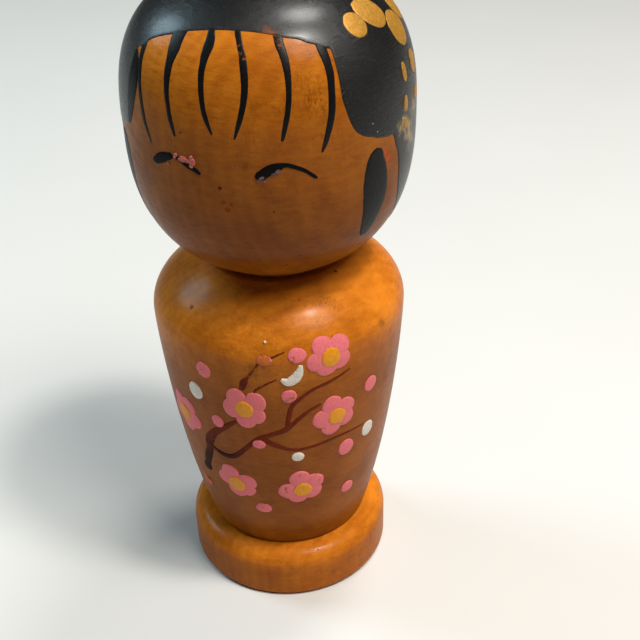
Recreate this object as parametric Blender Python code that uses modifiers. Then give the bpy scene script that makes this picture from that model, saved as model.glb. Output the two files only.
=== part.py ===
"""A small turned wooden doll: a head that turns on a peg, a waisted body and a round base.

The hair, face and plum spray are thick enamel, modelled as thin films laid over the wood.
The doll faces -Y and stands on the ground plane. Left and right are as seen from the front.
"""

import math

import bmesh
import bpy
from mathutils import Vector
from mathutils.geometry import interpolate_bezier

MM = 0.001

# Base
BASE_RADIUS = 14.2 * MM
BASE_HEIGHT = 7.6 * MM
BASE_TOP_ROUND = 2.4 * MM
BASE_FOOT_ROUND = 0.9 * MM

# Body
BODY_HEIGHT = 42.2 * MM
FOOT_RADIUS = 11.3 * MM
FOOT_FLARE = 0.30
SHOULDER_RADIUS = 16.6 * MM
SHOULDER_HEIGHT = 34.7 * MM
SHOULDER_FULLNESS = 0.62
SEAT_RADIUS = 9.2 * MM
SPIGOT_RADIUS = 4.5 * MM
SPIGOT_LENGTH = 4.8 * MM

# Head
HEAD_RADIUS = 17.58 * MM
HEAD_UPPER = 16.7 * MM
HEAD_LOWER = 19.6 * MM
CROWN_FULLNESS = 2.78
CHIN_FULLNESS = 2.63
NECK_RADIUS = 8.6 * MM
NECK_SHOWING = 0.6 * MM

# Neck peg
PEG_RADIUS = 4.0 * MM
PEG_LENGTH_IN_HEAD = 12.0 * MM
WAIST_RADIUS = 3.3 * MM
WAIST_LENGTH = 4.5 * MM
BULB_RADIUS = 4.4 * MM
BULB_LENGTH = 5.5 * MM
BULB_DOME = 0.6
PEG_CHAMFER = 0.6 * MM

# Fits
SEAT_GAP = 0.3 * MM
GLUE_GAP = 0.1 * MM
TURNING_GAP = 0.1 * MM
SPIGOT_GAP = 0.1 * MM

# Enamel: each film floats just over the one beneath it
FILM_GAP = 0.08 * MM
FILM = 0.12 * MM
FILM_STEP = FILM_GAP + FILM
FILM_CELL = 2.4 * MM
CUT_DEPTH = 1 * MM
MERGE = 0.01 * MM

# Facets round a turned piece, and stations down its outline
ROUND_STEPS = 40
PEG_STEPS = 24
HEAD_STATIONS = 9
BODY_STATIONS = 8
SHOULDER_STATIONS = 6
EDGE_STATIONS = 3
FINE_STATIONS = 160

# Marks are placed by azimuth in degrees from the front, and level from -1 to 1
# On the head, level 0 is the widest place; on the body, 0 is the foot and 1 the shoulder
# Strokes are lists of (azimuth, level, width)
# Their sizes are in units that are a millimetre at these radii, so they grow with the piece
HEAD_UNIT = HEAD_RADIUS / 17.58
BODY_UNIT = SHOULDER_RADIUS / 16.6

# Hair
HAIR_NAPE = -0.66
HAIR_EDGE = (
    (0, 0.825), (10, 0.82), (20, 0.802), (30.6, 0.776), (36.5, 0.736), (41.3, 0.70),
    (42.6, 0.58), (43, 0.46), (46.1, 0.273), (49.7, 0.162), (56.1, 0.103), (66.6, 0.035),
    (69.8, -0.058), (74.2, -0.17), (77, -0.40), (79, -0.55), (84, -0.72), (84, -0.8),
)
FRINGE = (
    ((-43, 0.70, 0.5), (-41.3, 0.51, 0.35), (-39.2, 0.37, 0.35), (-34, 0.075, 0.3)),
    ((-26.6, 0.86, 2.5), (-26.2, 0.76, 1.4), (-25.7, 0.61, 0.9), (-22.1, 0.31, 0.6), (-19.6, 0.165, 0.3)),
    ((-9.4, 0.9, 1.1), (-8.8, 0.75, 0.8), (-9.1, 0.51, 0.75), (-4.6, 0.22, 0.3)),
    ((3.0, 0.9, 0.7), (5.7, 0.76, 0.6), (7.7, 0.49, 0.75), (3.9, 0.21, 0.3)),
    ((22, 0.88, 1.1), (23.1, 0.73, 0.65), (23.5, 0.473, 0.7), (20.3, 0.19, 0.3)),
    ((38.2, 0.8, 1.6), (39.2, 0.68, 1.2), (39.7, 0.57, 0.85), (38.2, 0.3, 0.7), (34.3, 0.08, 0.3)),
)
SIDE_LOCK = (
    (59.4, 0.012, 1.5), (59, -0.02, 2.5), (58, -0.183, 3.9), (57.7, -0.304, 3.75),
    (56.2, -0.42, 2.7), (55.2, -0.575, 0.9),
)

# Face
EYE_RIGHT = (
    (10.3, -0.04, 0.4), (15.9, 0.012, 0.85), (22.4, 0.036, 0.4), (29.4, -0.025, 0.35), (32.5, -0.066, 0.25),
)
EYE_LEFT = (
    (-32.3, -0.04, 0.4), (-27.8, -0.003, 0.95), (-22.4, 0.018, 0.7), (-16.1, -0.006, 0.55),
    (-10.3, -0.05, 0.25),
)
MOUTH = (-0.6, -0.225)
MOUTH_WIDTH = 1.8 * HEAD_UNIT
MOUTH_HEIGHT = 1.5 * HEAD_UNIT
NOSE = (-2.9, -0.109)
NOSE_DOT = 0.5 * HEAD_UNIT

# Blossoms: azimuth, level, width, height, angle of the first petal, petals' shift across and up
BLOSSOMS = (
    (37.6, 0.998, 6.2, 6.0, 36, -0.45, 0.5),
    (-1.8, 0.792, 5.8, 7.2, 43, 0.05, 0.15),
    (41.1, 0.714, 6.35, 7.1, 38, -0.45, 0.0),
    (-40.0, 0.645, 6.1, 6.5, 36, 0.0, 0.0),
    (-12.4, 0.36, 6.4, 7.1, 30, 0.0, 0.45),
    (24.2, 0.354, 6.0, 7.4, -6, -0.4, 0.75),
)
BLOSSOM_CENTRE = 2.5 * BODY_UNIT
PETALS = 5
PETAL_SHARE = 0.46

# Buds: azimuth, level, width, height
PINK_BUDS = (
    (-20.2, 0.931, 2.2, 2.4), (8.9, 1.023, 2.0, 1.4), (22.9, 1.037, 2.2, 1.9), (18.7, 0.86, 2.0, 2.1),
    (60.2, 0.799, 2.2, 2.4), (-16.8, 0.692, 1.8, 2.1), (3.4, 0.616, 1.8, 1.6), (47.8, 0.527, 2.4, 2.8),
    (1.2, 0.236, 2.3, 2.0), (52.4, 0.279, 2.0, 2.2),
)
WHITE_BUDS = ((-27.4, 0.807, 2.3, 2.7), (21.9, 0.545, 1.7, 1.6), (61.6, 0.565, 2.1, 2.6))
CHIPPED_BUD = (
    (24.2, 0.993, 0.4), (23.4, 0.965, 0.85), (21.5, 0.94, 1.15), (18.5, 0.928, 0.95), (15.6, 0.941, 0.35),
)

# Branches
BRANCHES = (
    ((-32.7, 0.405, 0.9), (-31.7, 0.423, 1.7), (-26.6, 0.508, 1.3), (-25.2, 0.56, 1.5), (-20.7, 0.617, 1.2),
     (-13.4, 0.672, 0.85), (-6.6, 0.719, 0.5)),
    ((-24.8, 0.534, 0.6), (-18.1, 0.513, 0.8), (-11.2, 0.521, 0.85), (-3.9, 0.579, 0.75), (2.6, 0.639, 0.7),
     (9.4, 0.668, 0.75), (20.3, 0.724, 0.7), (26.8, 0.773, 0.5), (33, 0.80, 0.35)),
    ((4.3, 0.65, 0.5), (11.2, 0.614, 0.65), (19.9, 0.585, 0.5), (29, 0.589, 0.5), (40.9, 0.605, 0.4),
     (58, 0.606, 0.3)),
    ((17.2, 0.70, 0.6), (19.6, 0.805, 0.65), (23.8, 0.845, 0.55), (30, 0.879, 0.5), (47, 0.925, 0.3)),
)
TWIGS = (
    ((-1.9, 0.885, 0.7), (-0.7, 0.918, 1.05), (3.1, 0.968, 0.5), (6.8, 1.011, 0.55), (17.7, 1.053, 0.3)),
    ((3.4, 0.872, 0.35), (8.1, 0.913, 0.4), (13.8, 0.941, 0.3)),
)

# Gold marks on the hair, right of the crown
GOLD_BLOSSOM = (91.6, 0.81)
GOLD_SPIN = -95
GOLD_PETAL_RADIUS = 2.2 * HEAD_UNIT
GOLD_RING_RADIUS = 3.7 * HEAD_UNIT
GOLD_DOTS = (
    (61.3, 0.778, 2.9, 3.1), (79.5, 0.40, 1.6, 2.4), (91.5, 0.40, 2.8, 2.8),
    (78.2, 0.205, 1.1, 2.0), (92.5, 0.20, 2.3, 2.3), (77.6, 0.05, 0.9, 1.6),
)

# Heights that follow from the sizes above
FOOT_Z = BASE_HEIGHT + SEAT_GAP
SEAT_Z = FOOT_Z + BODY_HEIGHT
NECK_BOTTOM_Z = SEAT_Z + SEAT_GAP
NECK_DROP = (1 - (NECK_RADIUS / HEAD_RADIUS) ** CHIN_FULLNESS) ** (1 / CHIN_FULLNESS)
HEAD_Z = NECK_BOTTOM_Z + NECK_SHOWING + NECK_DROP * HEAD_LOWER
MOUTH_RADIUS = WAIST_RADIUS + TURNING_GAP
CHAMBER_RADIUS = BULB_RADIUS + TURNING_GAP


def clear_scene():
    for old in list(bpy.data.objects):
        bpy.data.objects.remove(old, do_unlink=True)


def new_collection(name):
    collection = bpy.data.collections.new(name)
    bpy.context.scene.collection.children.link(collection)
    return collection


def new_material(name, colour, roughness, coat=0.0):
    material = bpy.data.materials.new(name)
    material.use_nodes = True
    shader = material.node_tree.nodes["Principled BSDF"]
    shader.inputs["Base Color"].default_value = (*colour, 1)
    shader.inputs["Roughness"].default_value = roughness
    shader.inputs["Coat Weight"].default_value = coat
    material.diffuse_color = (*colour, 1)
    return material


def new_object(name, mesh, collection, material=None):
    piece = bpy.data.objects.new(name, mesh)
    collection.objects.link(piece)
    if material:
        mesh.materials.append(material)
    return piece


def hide(cutter):
    cutter.hide_render = True
    cutter.display_type = "WIRE"


def cut(piece, cutter, operation="DIFFERENCE"):
    modifier = piece.modifiers.new(cutter.name, "BOOLEAN")
    modifier.operation = operation
    modifier.solver = "EXACT"
    modifier.object = cutter
    hide(cutter)


def carry(name, height, pieces, collection):
    """An empty on the doll's axis that carries pieces, whose own origins then lie on it."""
    pivot = bpy.data.objects.new(name, None)
    pivot.location = (0, 0, height)
    pivot.empty_display_size = 5 * MM
    collection.objects.link(pivot)
    for piece in pieces:
        for vertex in piece.data.vertices:
            vertex.co.z -= height
        piece.parent = pivot
    return pivot


def arc(centre, radius, start, end, steps):
    """Points (radius, height) round a circular edge, from one angle to another in degrees."""
    angles = [math.radians(start + (end - start) * i / steps) for i in range(steps + 1)]
    return [(centre[0] + radius * math.cos(a), centre[1] + radius * math.sin(a)) for a in angles]


def bezier(points, steps):
    corners = [Vector((r, z, 0)) for r, z in points]
    curve = interpolate_bezier(corners[0], corners[1], corners[2], corners[3], steps + 1)
    return [(p.x, p.y) for p in curve]


def head_outline(stations):
    """The head's outer side from the crown down to the neck, as two halves of unlike fullness."""
    points = []
    for i in range(stations + 1):
        angle = math.pi / 2 * (1 - i / stations)
        points.append((HEAD_RADIUS * math.cos(angle) ** (2 / CROWN_FULLNESS),
                       HEAD_Z + HEAD_UPPER * math.sin(angle) ** (2 / CROWN_FULLNESS)))
    points[0] = (0.0, HEAD_Z + HEAD_UPPER)
    last = math.acos((NECK_RADIUS / HEAD_RADIUS) ** (CHIN_FULLNESS / 2))
    for i in range(1, stations + 1):
        angle = last * i / stations
        points.append((HEAD_RADIUS * math.cos(angle) ** (2 / CHIN_FULLNESS),
                       HEAD_Z - HEAD_LOWER * math.sin(angle) ** (2 / CHIN_FULLNESS)))
    return points


def body_outline(stations, shoulder_stations):
    """The body's outer side from the seat under the head, over the shoulder and down to the foot."""
    shoulder_z = FOOT_Z + SHOULDER_HEIGHT
    over = SEAT_Z - shoulder_z
    inward = SHOULDER_RADIUS - SEAT_RADIUS
    flare_rise = 0.4 * SHOULDER_HEIGHT
    widest = (SHOULDER_RADIUS, shoulder_z)
    shoulder = bezier(((SEAT_RADIUS, SEAT_Z), (SEAT_RADIUS + 0.08 * inward, SEAT_Z - 0.07 * over),
                       (SHOULDER_RADIUS, shoulder_z + SHOULDER_FULLNESS * over), widest), shoulder_stations)
    side = bezier((widest, (SHOULDER_RADIUS, shoulder_z - 0.06 * SHOULDER_HEIGHT),
                   (FOOT_RADIUS + FOOT_FLARE * flare_rise, FOOT_Z + flare_rise), (FOOT_RADIUS, FOOT_Z)),
                  stations)
    return shoulder + side[1:]


def settled(piece):
    """The same object with its modifiers applied, for cutting and bending."""
    graph = bpy.context.evaluated_depsgraph_get()
    mesh = bpy.data.meshes.new_from_object(piece.evaluated_get(graph))
    old = piece.data
    piece.modifiers.clear()
    piece.data = mesh
    bpy.data.meshes.remove(old)
    mesh.name = piece.name
    return piece


def smooth(piece, angle=35):
    piece.data.shade_smooth()
    piece.data.set_sharp_from_angle(angle=math.radians(angle))
    return piece


def turned(name, profile, steps, collection, material=None):
    """A solid of revolution from a profile that runs down its outer side, top to bottom."""
    mesh = bpy.data.meshes.new(name)
    edges = [(i, i + 1) for i in range(len(profile) - 1)]
    mesh.from_pydata([(r, 0, z) for r, z in profile], edges, [])
    piece = new_object(name, mesh, collection, material)
    screw = piece.modifiers.new("Turning", "SCREW")
    screw.angle = math.tau
    screw.steps = steps
    screw.render_steps = steps
    screw.use_merge_vertices = True
    screw.merge_threshold = MERGE
    return smooth(settled(piece))


class Skin:
    """The outer surface of a turned piece, which marks are placed and bent on."""

    def __init__(self, outline, centre_z, up, down, unit):
        self.outline = outline
        self.unit = unit
        self.centre_z = centre_z
        self.up = up
        self.down = down
        self.arcs = [0.0]
        for a, b in zip(outline, outline[1:]):
            self.arcs.append(self.arcs[-1] + math.dist(a, b))

    def arc_at(self, level):
        """How far down the outline a level lies: 1 is the top, 0 the centre, -1 the bottom."""
        z = self.centre_z + level * (self.up if level > 0 else self.down)
        for i in range(len(self.outline) - 1):
            high, low = self.outline[i][1], self.outline[i + 1][1]
            if high >= z >= low and high > low:
                share = (high - z) / (high - low)
                return self.arcs[i] + share * (self.arcs[i + 1] - self.arcs[i])
        return self.arcs[-1]

    def at(self, arc_length):
        """Radius, height and outward normal (out, up) at a length down the outline."""
        arc_length = min(max(arc_length, 0.0), self.arcs[-1])
        i = 0
        while i < len(self.arcs) - 2 and self.arcs[i + 1] < arc_length:
            i += 1
        share = (arc_length - self.arcs[i]) / (self.arcs[i + 1] - self.arcs[i])
        (r0, z0), (r1, z1) = self.outline[i], self.outline[i + 1]
        length = math.hypot(r1 - r0, z1 - z0)
        normal = ((z0 - z1) / length, (r1 - r0) / length)
        return r0 + share * (r1 - r0), z0 + share * (z1 - z0), normal

    def flat(self, azimuth, level):
        """Where a mark lies on the unrolled surface: across from the front, and up."""
        length = self.arc_at(level)
        return self.at(length)[0] * math.radians(azimuth), -length

    def bend(self, mesh, azimuth=0.0, level=None):
        """Bends a flat mesh onto the surface, with its origin at an azimuth and level."""
        start = self.arc_at(level) if level is not None else 0.0
        for vertex in mesh.vertices:
            across, up, out = vertex.co
            radius, height, normal = self.at(start - up)
            angle = math.radians(azimuth) + across / radius
            reach = radius + out * normal[0]
            vertex.co = (reach * math.sin(angle), -reach * math.cos(angle), height + out * normal[1])
        mesh.update()


def flat_slab(name, outlines, low, high, collection, material=None):
    """A flat solid from closed outlines (the second is a hole), between two heights."""
    curve = bpy.data.curves.new(name, "CURVE")
    curve.dimensions = "2D"
    curve.fill_mode = "BOTH"
    curve.extrude = (high - low) / 2
    for outline in outlines:
        spline = curve.splines.new("POLY")
        spline.points.add(len(outline) - 1)
        for point, (x, y) in zip(spline.points, outline):
            point.co = (x, y, 0, 1)
        spline.use_cyclic_u = True
    sketch = bpy.data.objects.new(name + "_sketch", curve)
    collection.objects.link(sketch)
    graph = bpy.context.evaluated_depsgraph_get()
    mesh = bpy.data.meshes.new_from_object(sketch.evaluated_get(graph))
    bpy.data.objects.remove(sketch)
    bpy.data.curves.remove(curve)
    solid = bmesh.new()
    solid.from_mesh(mesh)
    bmesh.ops.remove_doubles(solid, verts=solid.verts, dist=0.000001)
    bmesh.ops.recalc_face_normals(solid, faces=solid.faces)
    bmesh.ops.translate(solid, verts=solid.verts, vec=(0, 0, (low + high) / 2))
    solid.to_mesh(mesh)
    solid.free()
    mesh.materials.clear()
    return new_object(name, mesh, collection, material)


def sliced(mesh, cell):
    """Cuts a flat mesh into cells, so that it can bend, and triangulates it."""
    solid = bmesh.new()
    solid.from_mesh(mesh)
    for axis in (0, 1):
        values = [v.co[axis] for v in solid.verts]
        low, high = min(values), max(values)
        count = max(1, math.ceil((high - low) / cell))
        for i in range(1, count):
            place = Vector((0, 0, 0))
            place[axis] = low + (high - low) * i / count
            across = Vector((0, 0, 0))
            across[axis] = 1
            geometry = solid.verts[:] + solid.edges[:] + solid.faces[:]
            bmesh.ops.bisect_plane(solid, geom=geometry, dist=0.000001, plane_co=place, plane_no=across)
    bmesh.ops.triangulate(solid, faces=solid.faces)
    solid.to_mesh(mesh)
    solid.free()


def film(name, skin, outlines, place, layer, collection, material):
    """A film of enamel of a flat outline, bent onto the skin at (azimuth, level), on a layer."""
    low = FILM_GAP + layer * FILM_STEP
    piece = flat_slab(name, outlines, low, low + FILM, collection, material)
    sliced(piece.data, FILM_CELL)
    skin.bend(piece.data, *place)
    return smooth(piece)


def ellipse(width, height, points=10):
    turns = [math.tau * i / points for i in range(points)]
    return [(width / 2 * math.cos(a), height / 2 * math.sin(a)) for a in turns]


def rosette(petal_radius, ring_radius, spin=0, side=1, points_each=5):
    """The outline round a ring of petals, the first at an angle from upright, or inside it for side -1."""
    step = math.tau / PETALS
    start = math.radians(spin)
    outline = []
    for i in range(PETALS * points_each):
        angle = math.tau * i / (PETALS * points_each)
        off = (angle + step / 2) % step - step / 2
        chord = math.sqrt(petal_radius ** 2 - (ring_radius * math.sin(off)) ** 2)
        radius = ring_radius * math.cos(off) + side * chord
        outline.append((radius * math.sin(start + angle), radius * math.cos(start + angle)))
    return outline


def through(points, steps=4):
    """A smooth curve through points of any size, as points."""
    ends = [tuple(2 * a - b for a, b in zip(points[0], points[1]))]
    ends += list(points)
    ends.append(tuple(2 * a - b for a, b in zip(points[-1], points[-2])))
    smooth_points = []
    for i in range(1, len(ends) - 2):
        p0, p1, p2, p3 = ends[i - 1:i + 3]
        for k in range(steps):
            t = k / steps
            smooth_points.append(tuple(
                b + 0.5 * t * (c - a + t * (2 * a - 5 * b + 4 * c - d + t * (3 * (b - c) + d - a)))
                for a, b, c, d in zip(p0, p1, p2, p3)))
    smooth_points.append(points[-1])
    return smooth_points


def stroke(skin, path, side=1, steps=2):
    """The flat outline of a brush stroke, mirrored for side -1."""
    line = through([(*skin.flat(side * a, level), width * skin.unit) for a, level, width in path], steps)
    left, right = [], []
    for i, (x, y, width) in enumerate(line):
        before = line[max(i - 1, 0)]
        after = line[min(i + 1, len(line) - 1)]
        length = math.hypot(after[0] - before[0], after[1] - before[1])
        side_x = -(after[1] - before[1]) / length * width / 2
        side_y = (after[0] - before[0]) / length * width / 2
        left.append((x + side_x, y + side_y))
        right.append((x - side_x, y - side_y))
    return left + right[::-1]


def make_base(collection, material):
    bore_radius = SPIGOT_RADIUS + SPIGOT_GAP
    bore_floor = BASE_HEIGHT - SPIGOT_LENGTH
    top_centre = (BASE_RADIUS - BASE_TOP_ROUND, BASE_HEIGHT - BASE_TOP_ROUND)
    foot_centre = (BASE_RADIUS - BASE_FOOT_ROUND, BASE_FOOT_ROUND)
    profile = [(0, bore_floor), (bore_radius, bore_floor), (bore_radius, BASE_HEIGHT)]
    profile += arc(top_centre, BASE_TOP_ROUND, 90, 0, EDGE_STATIONS + 2)
    profile += arc(foot_centre, BASE_FOOT_ROUND, 0, -90, EDGE_STATIONS)
    profile.append((0, 0))
    return turned("base", profile, ROUND_STEPS, collection, material)


def make_body(collection, material):
    chamber_top = SEAT_Z - WAIST_LENGTH
    chamber_floor = chamber_top - BULB_LENGTH - 2 * SEAT_GAP
    profile = [(0, chamber_floor), (CHAMBER_RADIUS, chamber_floor), (CHAMBER_RADIUS, chamber_top),
               (MOUTH_RADIUS, chamber_top), (MOUTH_RADIUS, SEAT_Z)]
    profile += body_outline(BODY_STATIONS, SHOULDER_STATIONS)
    spigot_end = FOOT_Z - SPIGOT_LENGTH
    profile += [(SPIGOT_RADIUS, FOOT_Z), (SPIGOT_RADIUS, spigot_end), (0, spigot_end)]
    return turned("body", profile, ROUND_STEPS, collection, material)


def make_head(collection, material):
    socket_radius = PEG_RADIUS + GLUE_GAP
    socket_top = NECK_BOTTOM_Z + PEG_LENGTH_IN_HEAD + SEAT_GAP
    profile = head_outline(HEAD_STATIONS)
    profile += [(NECK_RADIUS, NECK_BOTTOM_Z), (socket_radius, NECK_BOTTOM_Z),
                (socket_radius, socket_top), (0, socket_top)]
    return turned("head", profile, ROUND_STEPS, collection, material)


def make_neck_peg(collection, material):
    """A peg glued in the head, with a waist through the body's mouth and a bulb held below it."""
    top = NECK_BOTTOM_Z + PEG_LENGTH_IN_HEAD
    bulb_top = SEAT_Z - WAIST_LENGTH - SEAT_GAP
    bulb_end = bulb_top - BULB_LENGTH + SEAT_GAP
    dome = BULB_DOME * (bulb_top - bulb_end)
    profile = [(0, top), (PEG_RADIUS - PEG_CHAMFER, top), (PEG_RADIUS, top - PEG_CHAMFER),
               (PEG_RADIUS, NECK_BOTTOM_Z), (WAIST_RADIUS, NECK_BOTTOM_Z), (WAIST_RADIUS, bulb_top),
               (BULB_RADIUS, bulb_top)]
    for i in range(EDGE_STATIONS):
        angle = math.pi / 2 * i / EDGE_STATIONS
        profile.append((BULB_RADIUS * math.cos(angle), bulb_end + dome * (1 - math.sin(angle))))
    profile.append((0, bulb_end))
    return turned("neck_peg", profile, PEG_STEPS, collection, material)


def face_window(skin):
    """The bare wood in the hair, as a flat outline: brow, side lobes and cheeks."""
    right = through(HAIR_EDGE, 2)
    outline = [skin.flat(a, level) for a, level in right]
    outline += [skin.flat(-a, level) for a, level in right[:0:-1]]
    return outline


def make_hair(skin, collection, cutters, material):
    """The hair: a film over the head, open at the face, with the fringe left standing in the opening."""
    fine = head_outline(HEAD_STATIONS)
    nape = skin.centre_z + HAIR_NAPE * skin.down
    covered = [point for point in fine if point[1] > nape]
    arcs = [skin.arc_at((z - skin.centre_z) / (skin.up if z > skin.centre_z else skin.down))
            for _, z in covered]
    arcs[0] = 0.0
    arcs.append(skin.arc_at(HAIR_NAPE))

    def offset(arc_length, out):
        radius, height, normal = skin.at(arc_length)
        if arc_length == 0.0:
            return 0.0, height + out
        return radius + out * normal[0], height + out * normal[1]

    outer = [offset(a, FILM_STEP) for a in arcs]
    inner = [offset(a, FILM_GAP) for a in arcs]
    hair = turned("hair", outer + inner[::-1], ROUND_STEPS, collection, material)

    window = flat_slab("face_window", [face_window(skin)], -CUT_DEPTH, 2 * CUT_DEPTH, cutters)
    for number, path in enumerate(FRINGE):
        outline = stroke(skin, path)
        strand = flat_slab(f"fringe_{number + 1}", [outline], -2 * CUT_DEPTH, 3 * CUT_DEPTH, cutters)
        cut(window, strand)
    settled(window)
    sliced(window.data, 2 * FILM_CELL)
    skin.bend(window.data)
    cut(hair, window)
    return hair


def make_mouth(skin, collection, material):
    """Two touches of red that meet below, and a dot for the nose."""
    side = [(0.5, 0.5), (1, 0.3), (0.6, -0.1)]
    outline = [(0, 0.25), *side, (0, -0.5)] + [(-x, y) for x, y in reversed(side)]
    outline = [(x * MOUTH_WIDTH / 2, y * MOUTH_HEIGHT) for x, y in outline]
    film("mouth", skin, [outline], MOUTH, 0, collection, material)
    film("nose", skin, [ellipse(NOSE_DOT, NOSE_DOT, 8)], NOSE, 0, collection, material)


def make_gold(skin, collection, material):
    rings = [rosette(GOLD_PETAL_RADIUS, GOLD_RING_RADIUS, GOLD_SPIN, side) for side in (1, -1)]
    film("gold_blossom", skin, rings, GOLD_BLOSSOM, 1, collection, material)
    for number, (azimuth, level, width, height) in enumerate(GOLD_DOTS):
        dot = ellipse(width * skin.unit, height * skin.unit)
        film(f"gold_dot_{number + 1}", skin, [dot], (azimuth, level), 1, collection, material)


def make_branches(skin, collection, cutters, material):
    """The boughs, joined into one film, and the two loose twigs."""
    low = FILM_GAP
    boughs = []
    for number, path in enumerate(BRANCHES):
        lift = 0.002 * MM * number
        outline = stroke(skin, path)
        bough = flat_slab(f"bough_{number + 1}", [outline], low - lift, low + FILM + lift, cutters)
        boughs.append(bough)
    branch = boughs[0]
    for bough in boughs[1:]:
        cut(branch, bough, "UNION")
    settled(branch)
    sliced(branch.data, FILM_CELL)
    skin.bend(branch.data)
    branch.name = "branch"
    cutters.objects.unlink(branch)
    collection.objects.link(branch)
    branch.data.materials.append(material)
    for number, path in enumerate(TWIGS):
        film(f"twig_{number + 1}", skin, [stroke(skin, path)], (), 0, collection, material)


def make_blossoms(skin, collection, petal_material, centre_material):
    for number, (azimuth, level, width, height, spin, across, up) in enumerate(BLOSSOMS):
        reach = width / 2 * skin.unit
        petal = PETAL_SHARE * reach
        petals = rosette(petal, reach - petal, spin)
        outline = [(x + across * skin.unit, y * height / width + up * skin.unit) for x, y in petals]
        place = (azimuth, level)
        film(f"blossom_{number + 1}", skin, [outline], place, 1, collection, petal_material)
        centre = ellipse(BLOSSOM_CENTRE, BLOSSOM_CENTRE)
        film(f"blossom_centre_{number + 1}", skin, [centre], place, 2, collection, centre_material)


def make_buds(name, buds, skin, collection, material):
    for number, (azimuth, level, width, height) in enumerate(buds):
        outline = ellipse(width * skin.unit, height * skin.unit)
        film(f"{name}_{number + 1}", skin, [outline], (azimuth, level), 1, collection, material)


def make_chipped_bud(name, skin, collection, material):
    """A white bud of which only a crescent is left."""
    film(name, skin, [stroke(skin, CHIPPED_BUD)], (), 1, collection, material)


def main():
    clear_scene()
    doll = new_collection("wooden_doll")
    cutters = new_collection("cutters")
    body_wood = new_material("body_wood", (0.50, 0.20, 0.045), 0.38, 0.5)
    head_wood = new_material("head_wood", (0.48, 0.19, 0.045), 0.36, 0.5)
    peg_wood = new_material("peg_wood", (0.62, 0.42, 0.22), 0.6)
    hair_black = new_material("hair_black", (0.014, 0.014, 0.015), 0.35, 0.3)
    face_black = new_material("face_black", (0.016, 0.013, 0.012), 0.4)
    mouth_red = new_material("mouth_red", (0.30, 0.03, 0.01), 0.5)
    petal_pink = new_material("petal_pink", (0.75, 0.13, 0.19), 0.45)
    centre_yellow = new_material("centre_yellow", (0.65, 0.27, 0.02), 0.45)
    bud_white = new_material("bud_white", (0.72, 0.66, 0.55), 0.45)
    branch_brown = new_material("branch_brown", (0.09, 0.02, 0.01), 0.45)
    gold = new_material("gold", (0.58, 0.33, 0.06), 0.4)

    make_base(doll, body_wood)
    make_body(doll, body_wood)
    outline = body_outline(FINE_STATIONS, FINE_STATIONS)
    body_skin = Skin(outline, FOOT_Z, SHOULDER_HEIGHT, SHOULDER_HEIGHT, BODY_UNIT)
    make_branches(body_skin, doll, cutters, branch_brown)
    make_blossoms(body_skin, doll, petal_pink, centre_yellow)
    make_buds("pink_bud", PINK_BUDS, body_skin, doll, petal_pink)
    make_buds("white_bud", WHITE_BUDS, body_skin, doll, bud_white)
    make_chipped_bud(f"white_bud_{len(WHITE_BUDS) + 1}", body_skin, doll, bud_white)
    torso = [piece for piece in doll.objects if piece.name != "base"]
    carry("torso_seat", FOOT_Z, torso, doll)

    make_head(doll, head_wood)
    make_neck_peg(doll, peg_wood)
    head_skin = Skin(head_outline(FINE_STATIONS), HEAD_Z, HEAD_UPPER, HEAD_LOWER, HEAD_UNIT)
    make_hair(head_skin, doll, cutters, hair_black)
    for name, path, side, material in (
            ("side_lock_left", SIDE_LOCK, -1, hair_black), ("side_lock_right", SIDE_LOCK, 1, hair_black),
            ("eye_left", EYE_LEFT, 1, face_black), ("eye_right", EYE_RIGHT, 1, face_black)):
        film(name, head_skin, [stroke(head_skin, path, side)], (), 0, doll, material)
    make_mouth(head_skin, doll, mouth_red)
    make_gold(head_skin, doll, gold)
    turning = [piece for piece in doll.objects if piece.name != "base" and piece.parent is None]
    turning = [piece for piece in turning if piece.type == "MESH"]
    carry("head_pivot", SEAT_Z, turning, doll)


main()
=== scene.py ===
import math

import bmesh
import bpy
import numpy as np
from bpy.props import FloatProperty, FloatVectorProperty, IntProperty, PointerProperty
from mathutils import Matrix, Vector


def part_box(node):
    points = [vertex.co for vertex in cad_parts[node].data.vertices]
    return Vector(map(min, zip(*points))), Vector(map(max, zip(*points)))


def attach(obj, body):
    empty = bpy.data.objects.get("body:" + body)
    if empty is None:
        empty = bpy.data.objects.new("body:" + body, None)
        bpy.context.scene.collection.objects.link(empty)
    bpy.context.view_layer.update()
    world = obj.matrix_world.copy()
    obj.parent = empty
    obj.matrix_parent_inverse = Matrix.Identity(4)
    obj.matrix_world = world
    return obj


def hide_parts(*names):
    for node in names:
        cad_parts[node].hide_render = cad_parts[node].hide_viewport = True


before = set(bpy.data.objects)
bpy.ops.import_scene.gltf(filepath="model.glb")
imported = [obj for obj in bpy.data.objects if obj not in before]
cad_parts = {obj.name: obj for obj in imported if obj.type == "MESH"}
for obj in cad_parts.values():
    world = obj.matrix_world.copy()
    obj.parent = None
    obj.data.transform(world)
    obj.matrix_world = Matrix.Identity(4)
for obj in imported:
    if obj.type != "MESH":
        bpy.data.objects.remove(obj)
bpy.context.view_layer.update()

# A small turned doll: varnished wood, lacquered hair, and thick enamel marks brushed on the wood.
# Heights are in metres up from the ground, and azimuths in degrees round from the face, positive to +X.

bl_info = {
    "name": "Wooden Doll",
    "version": (1, 0, 0),
    "blender": (4, 5, 0),
    "location": "3D View > Sidebar > Doll",
    "description": "Finishes a turned wooden doll with varnish, lacquered hair and brushed enamel",
    "category": "Add Mesh",
}

MM = 0.001
TORSO = "torso"
HEAD = "turning_head"

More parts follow.
